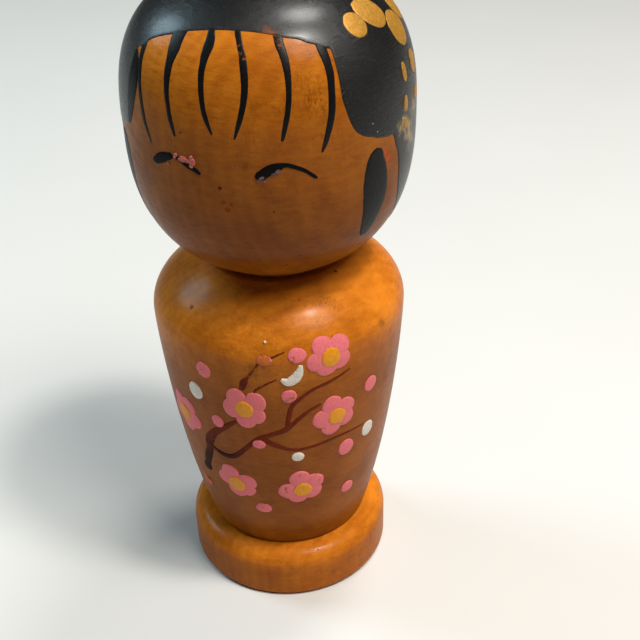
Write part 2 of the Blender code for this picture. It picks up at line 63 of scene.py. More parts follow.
# Sizes read from the solids
BASE_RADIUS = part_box("base")[1].x
BASE_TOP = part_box("base")[1].z
SPIGOT_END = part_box("body")[0].z
SHOULDER_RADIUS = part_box("body")[1].x
SEAT_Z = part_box("body")[1].z
NECK_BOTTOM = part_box("head")[0].z
HEAD_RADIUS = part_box("head")[1].x
CROWN_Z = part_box("head")[1].z
PEG_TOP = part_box("neck_peg")[1].z
PEG_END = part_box("neck_peg")[0].z
BULB_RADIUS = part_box("neck_peg")[1].x

# Sizes the boxes don't show
FIT = 0.1 * MM
SEAT_GAP = 0.3 * MM
FOOT_Z = BASE_TOP + SEAT_GAP
FOOT_RADIUS = 11.3 * MM
FOOT_FLARE = 0.30
SHOULDER_HEIGHT = 34.7 * MM
SHOULDER_FULLNESS = 0.62
SEAT_RADIUS = 9.2 * MM
SPIGOT_RADIUS = 4.5 * MM
HEAD_UPPER = 16.7 * MM
HEAD_LOWER = 19.6 * MM
HEAD_Z = CROWN_Z - HEAD_UPPER
CROWN_FULLNESS = 2.78
CHIN_FULLNESS = 2.63
NECK_RADIUS = 8.6 * MM
PEG_RADIUS = 4.0 * MM
WAIST_RADIUS = 3.3 * MM
WAIST_LENGTH = 4.5 * MM

# Points nearer than this are merged
MERGE = 0.002 * MM

# Hair: the opening's edge from the brow down each side, as (azimuth, level), and the nape
HAIR_RIGHT = (
    (0, 0.828), (10, 0.824), (19.3, 0.808), (24.1, 0.793), (30.6, 0.776), (34.2, 0.754), (36.9, 0.742), (39.3, 0.727),
    (41.2, 0.713), (43.5, 0.699), (43.7, 0.65), (43.7, 0.5), (43.9, 0.407), (44.9, 0.329), (45.9, 0.267),
    (47.3, 0.209), (48.8, 0.169), (50.7, 0.139), (53.0, 0.115), (56.1, 0.093), (58.6, 0.071), (62.1, 0.054),
    (65.1, 0.042), (67.6, 0.036), (68.6, 0.006), (69.6, -0.036), (71.3, -0.099), (72.4, -0.163), (73.0, -0.217),
    (74.0, -0.309), (76.1, -0.412), (79.5, -0.53), (84, -0.68),
)
HAIR_LEFT = (
    (0, 0.828), (7.7, 0.824), (15.3, 0.812), (21.9, 0.797), (28.9, 0.767), (35.0, 0.74), (40.4, 0.703), (41.9, 0.675),
    (43.5, 0.652), (46.8, 0.634), (47.4, 0.6), (47.5, 0.45), (47.5, 0.3), (47.8, 0.15), (49.2, 0.1), (53.5, 0.067),
    (60.1, 0.05), (66.6, 0.03), (69.8, -0.058), (73.4, -0.17), (75.2, -0.28), (76.6, -0.4), (79, -0.55), (84, -0.72),
)
NAPE = -0.66

# Brush strokes, each a list of (azimuth, level, width in millimetres and, where it is chipped, how much)
FRINGE = (
    ((-43.5, 0.7, 0.6), (-42.9, 0.656, 0.9), (-42.2, 0.586, 0.8), (-40.9, 0.521, 0.7), (-39.7, 0.445, 0.65),
     (-38.2, 0.359, 0.62), (-36.7, 0.27, 0.68), (-35.5, 0.198, 0.6), (-33.8, 0.127, 0.42), (-32.4, 0.068, 0.15)),
    ((-25.8, 0.86, 2.4), (-25.5, 0.785, 1.85), (-24.8, 0.706, 1.62), (-24.8, 0.66, 1.3), (-24.8, 0.612, 1.05),
     (-24.6, 0.563, 0.95), (-24.2, 0.504, 0.79), (-23.5, 0.43, 0.67), (-22.7, 0.376, 0.6), (-21.9, 0.305, 0.62),
     (-20.7, 0.233, 0.55), (-19.8, 0.178, 0.25)),
    ((-9.7, 0.9, 0.8), (-9.3, 0.82, 0.85), (-8.5, 0.781, 1.05), (-8.6, 0.746, 1.2), (-9.1, 0.702, 1.0),
     (-9.3, 0.657, 0.84), (-9.4, 0.611, 0.74), (-9.1, 0.555, 0.68), (-8.6, 0.489, 0.64), (-7.5, 0.387, 0.59),
     (-6.2, 0.317, 0.5), (-4.4, 0.237, 0.2)),
    ((2.2, 0.9, 0.7), (3.4, 0.829, 0.68), (4.5, 0.791, 0.64, 0.1), (5.6, 0.751, 0.68, 0.7), (6.7, 0.709, 0.75, 0.7),
     (7.2, 0.666, 0.84, 0.2), (7.7, 0.605, 0.8), (7.9, 0.55, 0.76), (7.7, 0.492, 0.72), (7.1, 0.424, 0.68),
     (6.1, 0.353, 0.6), (5.0, 0.288, 0.46), (3.8, 0.221, 0.22)),
    ((21.2, 0.88, 1.0, 0.4), (21.9, 0.8, 0.97, 0.6), (22.3, 0.76, 0.97, 0.6), (23.2, 0.717, 0.9, 0.3),
     (23.9, 0.658, 0.82), (24.1, 0.596, 0.72), (24.0, 0.532, 0.63), (23.7, 0.466, 0.6), (23.1, 0.397, 0.6),
     (22.2, 0.327, 0.6), (21.2, 0.254, 0.5), (20.5, 0.203, 0.28)),
    ((39.2, 0.8, 1.3), (39.8, 0.74, 1.14), (39.9, 0.703, 1.05), (40.3, 0.664, 1.0), (40.6, 0.617, 0.94),
     (40.6, 0.56, 0.88), (40.2, 0.502, 0.84), (39.3, 0.364, 0.84), (38.3, 0.284, 0.8), (37.1, 0.213, 0.7),
     (35.9, 0.148, 0.56), (34.6, 0.093, 0.25)),
)
TEMPLE = (
    (-48.2, 0.61, 1.1), (-46.6, 0.545, 2.1), (-45.6, 0.44, 2.65), (-45.9, 0.358, 2.5), (-46.8, 0.25, 2.0),
    (-48.2, 0.17, 1.6), (-49.2, 0.12, 0.9),
)
SIDE_LOCK = (
    (59.6, -0.005, 0.9), (59.0, -0.03, 2.0), (58.1, -0.075, 2.85), (58.1, -0.14, 3.57), (58.5, -0.225, 4.02),
    (58.9, -0.302, 3.98), (58.9, -0.375, 3.65), (58.3, -0.45, 3.08), (57.7, -0.513, 2.42, 0.1),
    (57.3, -0.555, 1.9, 0.2), (56.9, -0.59, 1.0, 0.3),
)
RIGHT_EYE = (
    (10.5, -0.041, 0.42), (11.6, -0.03, 0.95), (13.1, -0.02, 1.2), (14.7, -0.003, 1.23), (16.3, 0.011, 1.22),
    (17.9, 0.02, 1.15), (19.3, 0.03, 0.85), (20.4, 0.035, 0.62), (22.1, 0.033, 0.52), (23.7, 0.022, 0.5),
    (25.3, 0.009, 0.48), (27.1, -0.006, 0.46), (28.6, -0.021, 0.42), (30.3, -0.043, 0.4), (31.7, -0.062, 0.38),
    (32.6, -0.072, 0.2),
)
LEFT_EYE = (
    (-32.2, -0.047, 0.3), (-31.7, -0.043, 0.65), (-30.4, -0.036, 1.0), (-28.8, -0.02, 1.2), (-27.0, -0.005, 1.23),
    (-25.3, 0.01, 1.1), (-23.5, 0.021, 0.95), (-22.3, 0.027, 0.74), (-21.7, 0.026, 0.4, 0.3),
    (-20.6, 0.026, 0.42, 0.6), (-19.2, 0.024, 0.55, 0.4), (-17.4, 0.012, 0.6, 0.5), (-16.0, -0.002, 0.75),
    (-14.7, -0.012, 0.62, 0.2), (-13.1, -0.022, 0.6, 0.1), (-11.9, -0.03, 0.6), (-10.9, -0.041, 0.5),
    (-10.1, -0.049, 0.25),
)
BOUGHS = (
    ((-33.2, 0.366, 1.0), (-32.8, 0.38, 1.75), (-31.6, 0.41, 1.15), (-29.7, 0.45, 1.35), (-26.6, 0.508, 1.3),
     (-25.2, 0.56, 1.5, 0.1), (-20.7, 0.617, 1.2, 0.1), (-13.4, 0.672, 0.85, 0.2), (-6.6, 0.719, 0.5, 0.2)),
    ((-24.3, 0.534, 0.5), (-18.1, 0.513, 0.8), (-11.2, 0.521, 0.85), (-3.9, 0.579, 0.72, 0.1), (2.6, 0.639, 0.7, 0.2),
     (9.4, 0.668, 0.75, 0.1), (16.0, 0.692, 0.85), (20.3, 0.724, 0.7, 0.1), (26.8, 0.773, 0.5, 0.3),
     (33, 0.8, 0.3, 0.2)),
    ((4.3, 0.65, 0.5), (5.9, 0.642, 0.8), (11.2, 0.614, 0.82, 0.1), (19.9, 0.585, 0.52, 0.2), (29, 0.589, 0.46, 0.2),
     (40.9, 0.605, 0.4, 0.1), (58, 0.606, 0.22, 0.1)),
    ((17.2, 0.7, 0.6), (17.9, 0.74, 0.62, 0.1), (19.6, 0.805, 0.65), (23.8, 0.845, 0.55, 0.2), (30, 0.879, 0.48, 0.1),
     (38.5, 0.9, 0.42, 0.2), (47, 0.925, 0.22, 0.1)),
    ((-1.9, 0.885, 0.7, 0.2), (-0.7, 0.918, 1.0, 0.5), (0.8, 0.94, 0.5, 0.7), (3.1, 0.968, 0.32, 0.9),
     (6.8, 1.011, 0.35, 0.8), (12.3, 1.035, 0.3, 0.8), (17.7, 1.053, 0.16, 0.5)),
    ((3.4, 0.872, 0.3, 0.3), (4.4, 0.889, 0.34, 0.5), (8.1, 0.913, 0.3, 0.6), (13.8, 0.941, 0.14, 0.5)),
)
CHIPPED_BUD = (
    (24.2, 0.997, 0.5), (23.4, 0.967, 1.15, 0.2), (21.5, 0.94, 1.5, 0.1), (18.5, 0.928, 1.3), (15.6, 0.941, 0.4),
)

# Plum blossoms: (azimuth, level, petal's width and height, chipped, petals' places across and up), in millimetres
BLOSSOMS = (
    (37.6, 1.007, 2.85, 2.8, 0.15, ((1.25, 1.25), (1.15, -0.68), (-0.55, -1.25), (-1.85, -0.33), (-0.95, 1.6))),
    (-1.8, 0.792, 2.7, 3.2, 0.1, ((1.5, 1.25), (1.4, -0.95), (0.1, -1.75), (-1.55, -0.2), (-0.95, 1.65))),
    (41.1, 0.72, 2.85, 3.15, 0.15, ((1.2, 1.05), (1.15, -0.7), (-0.75, -1.6), (-1.95, 0), (-0.7, 1.95))),
    (-40.0, 0.645, 2.8, 3.0, 0.1, ((0.97, 1.42), (1.57, -0.54), (0, -1.75), (-1.57, -0.54), (-0.97, 1.42))),
    (-12.4, 0.36, 2.9, 3.0, 0.05, ((1.5, 0.8), (1.2, -0.65), (-0.1, -1.15), (-1.55, 0.6), (-0.8, 2.1))),
    (24.2, 0.354, 2.9, 3.1, 0.25, ((1.45, 1.25), (1.2, -0.6), (-0.6, -1.1), (-1.85, -0.15), (-0.4, 2.2))),
)
CENTRE = (2.5, 2.7)
PETALS = 5

# Buds and other dabs: (azimuth, level, width, height, chipped), in millimetres
PINK_BUDS = (
    (-20.2, 0.931, 2.2, 2.4, 0.3), (8.9, 1.023, 2.0, 1.4, 0.85), (22.9, 1.037, 2.3, 2.0, 0.35),
    (18.7, 0.86, 2.0, 2.1, 0.5), (60.2, 0.799, 2.2, 2.4, 0.0), (-16.8, 0.692, 1.8, 2.1, 0.0),
    (3.4, 0.616, 1.8, 1.6, 0.0), (47.8, 0.527, 2.4, 2.8, 0.0), (1.2, 0.236, 2.3, 2.0, 0.1),
    (52.4, 0.279, 2.0, 2.2, 0.0),
)
FADED_BUD = (-38.4, 0.272, 1.9, 1.8, 0.75)
WHITE_BUDS = (
    (-27.4, 0.807, 2.3, 2.7, 0.0), (21.9, 0.545, 1.7, 1.6, 0.0), (61.6, 0.565, 2.1, 2.6, 0.1),
    (9.3, 1.085, 0.35, 0.35, 0.0),
)
MOUTH_TOUCHES = ((-1.9, -0.206, 0.8, 0.55, 0.4), (1.2, -0.212, 0.7, 0.6, 0.4), (-0.7, -0.252, 0.7, 0.7, 0.4))
NOSE = (-2.8, -0.117, 0.42, 0.42, 0.0)
EYE_CHIPS = (
    (-20.3, 0.04, 0.5, 0.8, 0.2), (-18.3, 0.02, 0.6, 0.4, 0.3), (-17.0, 0.028, 1.0, 0.75, 0.3),
    (-15.0, 0.024, 0.85, 0.4, 0.2), (-13.4, 0.056, 0.4, 0.5, 0.2), (-13.0, 0.025, 0.9, 0.95, 0.2),
    (-13.5, -0.004, 0.6, 0.5, 0.3), (-24.0, -0.034, 0.35, 0.3, 0.4),
)
# Mauve dabs along the right eye's lower edge: partly chipped paint, partly a painted sheen of cool light on the thick
# stroke
LASH_CHIPS_AND_SHEEN = (
    (12.6, -0.04, 0.8, 0.42, 0.3), (18.5, -0.004, 0.62, 0.5, 0.3), (16.7, -0.021, 0.5, 0.3, 0.5),
    (11.3, -0.06, 0.35, 0.22, 0.4), (13.6, -0.064, 0.5, 0.28, 0.6),
)
# Gold dots: (azimuth, level, width, height, chipped). The dots round the right side carry more chipping, which
# darkens them partly as worn gold and partly as painted shade
GOLD_DOTS = (
    (61.3, 0.778, 3.0, 3.2, 0.0), (79.5, 0.4, 1.1, 2.3, 0.3), (91.5, 0.4, 2.2, 2.8, 0.3), (78.2, 0.19, 1.0, 1.9, 0.4),
    (92.5, 0.17, 2.0, 2.0, 0.5), (77.6, 0.05, 0.8, 1.4, 0.9),
)

# The gold blossom's place, turn, ring of petals and their width
GOLD_BLOSSOM = (91.6, 0.81)
GOLD_SPIN = -95
GOLD_RING = 3.7
GOLD_PETAL = 4.5

# Marks of age: (azimuth, level, size in millimetres, strength), and dots without a strength
BODY_STAINS = (
    (3.6, 0.978, 2.6, 0.9), (8.0, 0.99, 2.4, 0.6), (-14.8, 0.939, 2.2, 0.4), (8, 1.08, 6.5, 0.5),
    (67.7, 1.037, 0.9, 0.8), (-12, 1.06, 5.5, 0.5), (-4, 1.0, 7.0, 0.5), (-17, 0.97, 6.0, 0.5), (-22, 0.6, 2.2, 0.35),
    (6, 0.45, 5.0, 0.3),
)
DARK_BARK = (
    (-32, 0.39, 4.5, 1.0), (-30, 0.45, 5.0, 0.95), (-17, 0.51, 4.5, 0.9), (-8, 0.53, 3.5, 0.6),
    (-0.6, 0.913, 1.2, 0.35),
)
HEAD_STAINS = ((-45.3, 0.04, 1.6, 0.7), (-41.2, -0.199, 1.2, 0.5), (-3.0, -0.18, 2.4, 0.3), (6.9, 0.037, 0.6, 0.8))
WORN_HAIR = ((17.8, 0.805, 1.5, 0.8),)
RUBBED_HAIR = (
    (74.3, 0.06, 1.5, 1.0), (77.6, 0.03, 1.8, 1.0), (80.8, -0.03, 1.8, 1.0), (83.2, -0.1, 1.6, 1.0),
    (78.4, 0.17, 1.0, 0.9), (86, 0.1, 1.8, 0.7),
)
RED_SMEARS = ((63.2, -0.055, 0.55, 0.9), (64.9, -0.105, 0.5, 0.9), (-43.5, 0.06, 0.8, 0.5))
BODY_SPOTS = ((-33.2, 1.127, 0.32), (63.3, 1.205, 0.25))
LINT = ((56.2, 0.189, 0.13), (58.5, 0.118, 0.13), (75.1, 0.102, 0.2))

# Lamps: (name, azimuth, height, size, power, colour), with the angles in degrees
LAMPS = (
    ("key", 66, 60, 0.24, 2.0, (1.0, 0.95, 0.87)),
    ("window", -100, 35, 0.2, 1.1, (0.62, 0.88, 1.0)),
    ("ceiling", 73, 67, 0.06, 1.1, (1.0, 0.97, 0.92)),
    ("back", 150, 69, 0.13, 1.1, (1.0, 0.98, 0.94)),
)
LAMP_DISTANCE = 0.5
MIDDLE = (0, 0, 0.045)
FLOOR_SIZE = 3.0
FLOOR_SHADES = ((0.64, 0.63, 0.61, 1), (0.68, 0.67, 0.65, 1))

# The camera: its angles in degrees, its place in millimetres before the turn, and the lens in image widths
CAMERA_TURN = 14.3
CAMERA_PITCH = 34.053
CAMERA_ROLL = -1.599
CAMERA_PLACE = (5.360, -129.132, 125.305)
FOCAL_LENGTH = 1150.0 / 640
SENSOR = 36.0


# Outlines of the turned pieces

def arc(centre, radius, start, end, steps):
    """Points (radius, height) round a circular edge, from one angle to another in degrees."""
    angles = np.radians(np.linspace(start, end, steps + 1))
    return [(centre[0] + radius * math.cos(a), centre[1] + radius * math.sin(a)) for a in angles]


def bezier(points, steps):
    t = np.linspace(0, 1, steps + 1)[:, None]
    p = np.array(points, float)
    curve = (1 - t) ** 3 * p[0] + 3 * (1 - t) ** 2 * t * p[1] + 3 * (1 - t) * t * t * p[2] + t ** 3 * p[3]
    return [tuple(q) for q in curve]


def head_outline(stations):
    """The head's outer side from the crown down to the neck."""
    points = []
    for angle in np.linspace(math.pi / 2, 0, stations + 1):
        cosine = max(math.cos(angle), 0.0)
        points.append((HEAD_RADIUS * cosine ** (2 / CROWN_FULLNESS),
                       HEAD_Z + HEAD_UPPER * math.sin(angle) ** (2 / CROWN_FULLNESS)))
    points[0] = (0.0, CROWN_Z)
    last = math.acos((NECK_RADIUS / HEAD_RADIUS) ** (CHIN_FULLNESS / 2))
    for angle in np.linspace(0, last, stations + 1)[1:]:
        points.append((HEAD_RADIUS * math.cos(angle) ** (2 / CHIN_FULLNESS),
                       HEAD_Z - HEAD_LOWER * math.sin(angle) ** (2 / CHIN_FULLNESS)))
    return points


def body_outline(stations):
    """The body's outer side from the seat under the head, over the shoulder and down to the foot."""
    shoulder_z = FOOT_Z + SHOULDER_HEIGHT
    over = SEAT_Z - shoulder_z
    inward = SHOULDER_RADIUS - SEAT_RADIUS
    rise = 0.4 * SHOULDER_HEIGHT
    shoulder = bezier(((SEAT_RADIUS, SEAT_Z), (SEAT_RADIUS + 0.08 * inward, SEAT_Z - 0.07 * over),
                       (SHOULDER_RADIUS, shoulder_z + SHOULDER_FULLNESS * over), (SHOULDER_RADIUS, shoulder_z)),
                      stations // 2)
    side = bezier(((SHOULDER_RADIUS, shoulder_z), (SHOULDER_RADIUS, shoulder_z - 0.06 * SHOULDER_HEIGHT),
                   (FOOT_RADIUS + FOOT_FLARE * rise, FOOT_Z + rise), (FOOT_RADIUS, FOOT_Z)), stations)
    return shoulder + side[1:]


class Skin:
    """The outer side of a turned piece, on which marks are placed by azimuth and level."""

    def __init__(self, outline, centre_z, up, down):
        self.outline = np.array(outline)
        self.centre_z = centre_z
        self.up = up
        self.down = down
        steps = np.hypot(*np.diff(self.outline, axis=0).T)
        self.arcs = np.concatenate([[0.0], np.cumsum(steps)])

    def arc_at(self, level):
        z = self.centre_z + level * (self.up if level > 0 else self.down)
        return float(np.interp(-z, -self.outline[:, 1], self.arcs))

    def radius_at(self, arc_length):
        return float(np.interp(arc_length, self.arcs, self.outline[:, 0]))

    def place(self, azimuth, level):
        """The point at an azimuth and level, in millimetres."""
        length = self.arc_at(level)
        radius = self.radius_at(length) / MM
        angle = math.radians(azimuth)
        height = float(np.interp(length, self.arcs, self.outline[:, 1])) / MM
        return (radius * math.sin(angle), -radius * math.cos(angle), height)


HEAD_SKIN = Skin(head_outline(200), HEAD_Z, HEAD_UPPER, HEAD_LOWER)
BODY_SKIN = Skin(body_outline(200), FOOT_Z, SHOULDER_HEIGHT, SHOULDER_HEIGHT)


# Node graphs

class Graph:
    """A node tree, with one call that adds a node and wires it."""

    def __init__(self, tree):
        self.tree = tree

    def node(self, kind, inputs=(), **settings):
        node = self.tree.nodes.new(kind)
        for name, value in settings.items():
            setattr(node, name, value)
        for key, value in inputs.items() if isinstance(inputs, dict) else enumerate(inputs):
            if isinstance(value, Wire):
                self.tree.links.new(value.socket, node.inputs[key])
            elif value is not None:
                node.inputs[key].default_value = value
        return node

    def add(self, kind, inputs=(), output=0, **settings):
        return Wire(self, self.node(kind, inputs, **settings).outputs[output])

    def combine(self, x, y, z):
        return self.add("ShaderNodeCombineXYZ", (x, y, z))

    def mix(self, factor, a, b, blend="MIX"):
        """A colour that goes from a to b."""
        return self.add("ShaderNodeMix", {0: factor, 6: a, 7: b}, output=2, data_type="RGBA", blend_type=blend)


class Wire:
    """The output of a node, which arithmetic can be written with."""

    def __init__(self, graph, socket):
        self.graph = graph
        self.socket = socket

    def math(self, operation, *others):
        return self.graph.add("ShaderNodeMath", (self, *others), operation=operation)

    def vector(self, operation, *others):
        return self.graph.add("ShaderNodeVectorMath", (self, *others), operation=operation)

    def __add__(self, other):
        return self.math("ADD", other)

    def __sub__(self, other):
        return self.math("SUBTRACT", other)

    def __mul__(self, other):
        return self.math("MULTIPLY", other)

    def __truediv__(self, other):
        return self.math("DIVIDE", other)

    def __pow__(self, power):
        return self.math("POWER", power)

    def __neg__(self):
        return self * -1

    def __rsub__(self, other):
        return self * -1 + other

    __radd__ = __add__
    __rmul__ = __mul__

    def least(self, other):
        return self.math("MINIMUM", other)

    def most(self, other):
        return self.math("MAXIMUM", other)

    def step(self, low, high):
        """0 below low and 1 above high, smooth between."""
        return self.graph.add("ShaderNodeMapRange", (self, low, high, 0.0, 1.0), interpolation_type="SMOOTHSTEP")

    def stretched(self, x, y, z):
        return self.vector("MULTIPLY", (x, y, z))

    def scaled(self, factor):
        return self.graph.add("ShaderNodeVectorMath", {0: self, "Scale": factor}, operation="SCALE")

    def distance(self, point):
        return self.graph.add("ShaderNodeVectorMath", (self, point), output=1, operation="DISTANCE")

    def split(self):
        node = self.graph.node("ShaderNodeSeparateXYZ", (self,))
        return [Wire(self.graph, node.outputs[i]) for i in range(3)]

    def noise(self, scale, detail=3.0, roughness=0.55, distortion=0.0, output=0):
        """Noise from 0 to 1, with one scale or one for each axis; output 1 is three at once, as a vector."""
        place = self
        if isinstance(scale, tuple):
            place, scale = self.stretched(*scale), 1.0
        return self.graph.add("ShaderNodeTexNoise", {"Vector": place, "Scale": scale, "Detail": detail,
                                                     "Roughness": roughness, "Distortion": distortion}, output)

    def cells(self, scale, output=0):
        """How far the nearest of scattered points lies; output 1 is a colour for each point's cell."""
        return self.graph.add("ShaderNodeTexVoronoi", {"Vector": self, "Scale": scale}, output)


# Finishes

def linear(colour):
    """A screen colour (0 to 255) as the linear values that nodes take."""
    values = [c / 255 for c in colour]
    return [c / 12.92 if c <= 0.04045 else ((c + 0.055) / 1.055) ** 2.4 for c in values]


def rgba(colour, factor=1.0):
    return (colour[0] * factor, colour[1] * factor, colour[2] * factor, 1.0)


def screen(red, green, blue):
    return rgba(linear((red, green, blue)))


def new_finish(name):
    """An empty material and its graph."""
    material = bpy.data.materials.new(name)
    material.use_nodes = True
    material.node_tree.nodes.clear()
    return material, Graph(material.node_tree)


def finish(graph, colour, roughness, height=None, depth=0.1 * MM, metallic=0.0, coat=0.0, coat_roughness=0.1,
           ior=1.5):
    """The shader that ends a graph, with a bump where a height is given."""
    normal = None
    if height is not None:
        normal = graph.add("ShaderNodeBump", {"Strength": 1.0, "Distance": depth, "Height": height})
    shader = graph.add("ShaderNodeBsdfPrincipled", {
        "Base Color": colour, "Roughness": roughness, "Metallic": metallic, "Normal": normal,
        "Coat Weight": coat, "Coat Roughness": coat_roughness, "IOR": ior})
    graph.node("ShaderNodeOutputMaterial", {"Surface": shader})


def millimetres(graph):
    """Object coordinates in millimetres."""
    return graph.add("ShaderNodeTexCoord", output=3).stretched(1000, 1000, 1000)


def mark_value(graph, name):
    return graph.add("ShaderNodeAttribute", output=2, attribute_name=name)


def moved(place, seed):
    """The place moved, so that each piece is cut from wood of its own."""
    return place.vector("ADD", (seed * 13.1, seed * 7.7, seed * 3.3))


def strongest(wires):
    total = wires[0]
    for wire in wires[1:]:
        total = total.most(wire)
    return total


def stains(place, skin, marks):
    """How stained a place is, from marks of (azimuth, level, size, strength) with ragged edges."""
    ragged = (place.noise(0.9, 5.0, 0.75) - 0.5) * 2.4
    return strongest([(1.0 - place.distance(skin.place(azimuth, level)) / size + ragged).step(0.0, 0.9) * strength
                      for azimuth, level, size, strength in marks])


def dots(place, skin, rows, core):
    """Round dots from rows of (azimuth, level, radius), each full out to the core's share of its radius."""
    return [1.0 - place.distance(skin.place(azimuth, level)).step(radius * core, radius)
            for azimuth, level, radius in rows]


def grain(place, seed):
    """Growth rings, upright fibres, pores and a cloudy figure, each from 0 to 1."""
    bent = moved(place, seed)
    sway = bent.noise((0.12, 0.12, 0.05), 2.0)
    x, y, _ = bent.split()
    growth = ((x + 9.0) ** 2 + (y - 31.0) ** 2).math("SQRT") + sway * 4.0
    rings = (growth * 4.2).math("SINE").step(-1.0, 1.0)
    fibres = bent.noise((6.0, 6.0, 0.35), 4.0, 0.68)
    pores = bent.noise((8.0, 8.0, 1.0), 2.0, 0.6).step(0.60, 0.74)
    cloud = bent.noise((0.14, 0.14, 0.10), 4.0, 0.6)
    return rings, fibres, pores, cloud


def varnished_wood(name, light, dark, seed, skin=None, marks=(), spots=(), smears=(), painted_shade=None, gloss=0.32,
                   lines=1.0):
    """Turned wood under an amber varnish: fibres, turning lines, stains, small dents and dulled patches.

    It gets painted shade, darker towards the lower of two heights in millimetres, by a factor: (low, high, factor).
    """
    material, graph = new_finish(name)
    place = millimetres(graph)
    rings, fibres, pores, cloud = grain(place, seed)
    x, y, z = place.split()
    turning = graph.combine(x * 0.12, y * 0.12, z).noise(3.6, 5.0, 0.72)
    curl = moved(place, seed).noise((0.4, 0.4, 1.3), 4.0, 0.6, 0.9)
    tone = rings * 0.06 + (fibres * 0.3 + turning * 0.18) * lines + cloud * 0.9 + curl * 0.42
    colour = graph.mix(tone.step(0.4 + 0.24 * lines, 0.96 + 0.24 * lines), dark, light)
    # Painted shade: the wood is made darker towards the lower of the two heights, standing in for shade low on the
    # piece
    if painted_shade:
        low, high, factor = painted_shade
        brown = (factor, factor * 0.9, factor * 0.8, 1)
        colour = graph.mix(z.step(low, high), graph.mix(1.0, colour, brown, "MULTIPLY"), colour)
    deep = rgba(dark, 0.4)
    smudge = place.vector("ADD", (seed * 5.0, 3.0, 1.0)).noise((0.22, 0.22, 0.16), 5.0, 0.7)
    rubbed = place.noise((4.0, 4.0, 1.4), 3.0, 0.7)
    smudge = smudge.step(0.53, 0.72) * rubbed.step(0.38, 0.66)
    pitted = 0.4
    if marks:
        stained = stains(place, skin, marks)
        pitted = 0.3 + 0.6 * stained
        smudge = smudge.most(stained * rubbed.step(0.2, 0.6))
    colour = graph.mix(pores * pitted, colour, deep)
    colour = graph.mix(smudge * 0.75, colour, deep)
    specks = 1.0 - place.stretched(0.3, 0.3, 0.3).cells(1.0).step(0.028, 0.048)
    specks = strongest([specks, *dots(place, skin, spots, 0.7)])
    if smears:
        colour = graph.mix(stains(place, skin, smears), colour, screen(186, 62, 14))
    colour = graph.mix(specks * 0.8, colour, (0.02, 0.012, 0.008, 1))
    dull = place.noise((0.5, 0.5, 0.5), 6.0, 0.75).step(0.45, 0.75)
    ripples = place.noise((0.6, 0.6, 1.8), 3.0, 0.5)
    height = fibres * 0.14 + turning * (0.34 * lines) + ripples * 0.7 - pores * 0.2 - specks * 0.8
    finish(graph, colour, gloss + dull * 0.16 + fibres * 0.08, height, 0.12 * MM, coat=0.11, coat_roughness=0.18,
           ior=1.12)
    return material


def bare_wood(name, light, dark, seed):
    material, graph = new_finish(name)
    rings, fibres, pores, cloud = grain(millimetres(graph), seed)
    tone = (rings * 0.3 + fibres * 0.5 + cloud * 0.4).step(0.4, 0.95)
    colour = graph.mix(pores * 0.4, graph.mix(tone, dark, light), dark)
    finish(graph, colour, 0.62 + fibres * 0.12, fibres - pores, 0.08 * MM)
    return material


def lacquer(name, colour, wood, seed):
    """Black lacquer, brushed on: fine brush lines, grey bloom, and wood that shows at worn spots."""
    material, graph = new_finish(name)
    place = millimetres(graph)
    x, y, z = place.split()
    around = y.math("ARCTAN2", x) * 17.0
    brush = graph.combine(around * 0.4, z * 4.0, 4.0).noise(1.0, 5.0, 0.75)
    mottle = place.noise((1.6, 1.6, 1.6), 6.0, 0.75)
    bloom = (mottle * 0.6 + brush * 0.5).step(0.55, 0.85)
    shade = graph.mix(bloom * 0.4, colour, (0.022, 0.022, 0.023, 1))
    worn = place.vector("ADD", (seed, 5.0, 8.0)).noise((0.5, 0.5, 0.6), 7.0, 0.8).step(0.735, 0.77)
    worn = (worn * 0.7).most(stains(place, HEAD_SKIN, WORN_HAIR))
    shade = graph.mix(worn, shade, wood)
    scratches = place.noise((2.2, 2.2, 0.7), 4.0, 0.7).step(0.38, 0.52)
    shade = graph.mix(stains(place, HEAD_SKIN, RUBBED_HAIR) * scratches, shade, screen(150, 126, 78))
    shade = graph.mix(strongest(dots(place, HEAD_SKIN, LINT, 0.5)), shade, (0.5, 0.5, 0.46, 1))
    height = brush * 1.3 + mottle * 0.5 - worn * 0.8
    polish = z.step(HEAD_Z / MM + 6, CROWN_Z / MM) * 0.45 + 0.05
    finish(graph, shade, 0.24 + bloom * 0.2, height, 0.09 * MM, coat=polish, coat_roughness=0.26, ior=1.28)
    return material


def enamel(name, colour, deep, wood, coarse=1.0, gloss=0.42, lift=1.0, darker=(), coat=0.1, ior=1.3, rust=0.0):
    """Thick enamel, dabbed or brushed on: streaks along the brush, thin spots and chips down to the wood."""
    material, graph = new_finish(name)
    mark = graph.add("ShaderNodeAttribute", output=1, attribute_name="mark")
    place = millimetres(graph)
    streaks = mark.noise((6.0 * coarse, 1.1 * coarse, 3.7), 3.0, 0.6)
    mottle = place.noise(2.6 * coarse, 4.0, 0.65)
    shade = graph.mix((streaks * 0.55 + mottle * 0.6).step(0.36, 0.78), deep, colour)
    if darker:
        shade = graph.mix(stains(place, BODY_SKIN, darker), shade, screen(46, 17, 9))
    if rust:
        blotch = place.noise(0.8, 3.0, 0.6).step(0.5, 0.66)
        shade = graph.mix((1.0 - place.cells(1.1).step(0.06, 0.13)) * blotch * rust, shade, screen(96, 38, 24))
    chipped = (place.noise(1.5, 5.0, 0.7) + mark_value(graph, "chipped") * 0.3).step(0.70, 0.74)
    shade = graph.mix(chipped * 0.9, shade, wood)
    height = streaks * 0.5 * lift + mottle * 0.6 * lift - chipped * 1.0
    finish(graph, shade, gloss + mottle * 0.2, height, 0.10 * MM, coat=coat, coat_roughness=0.25, ior=ior)
    return material


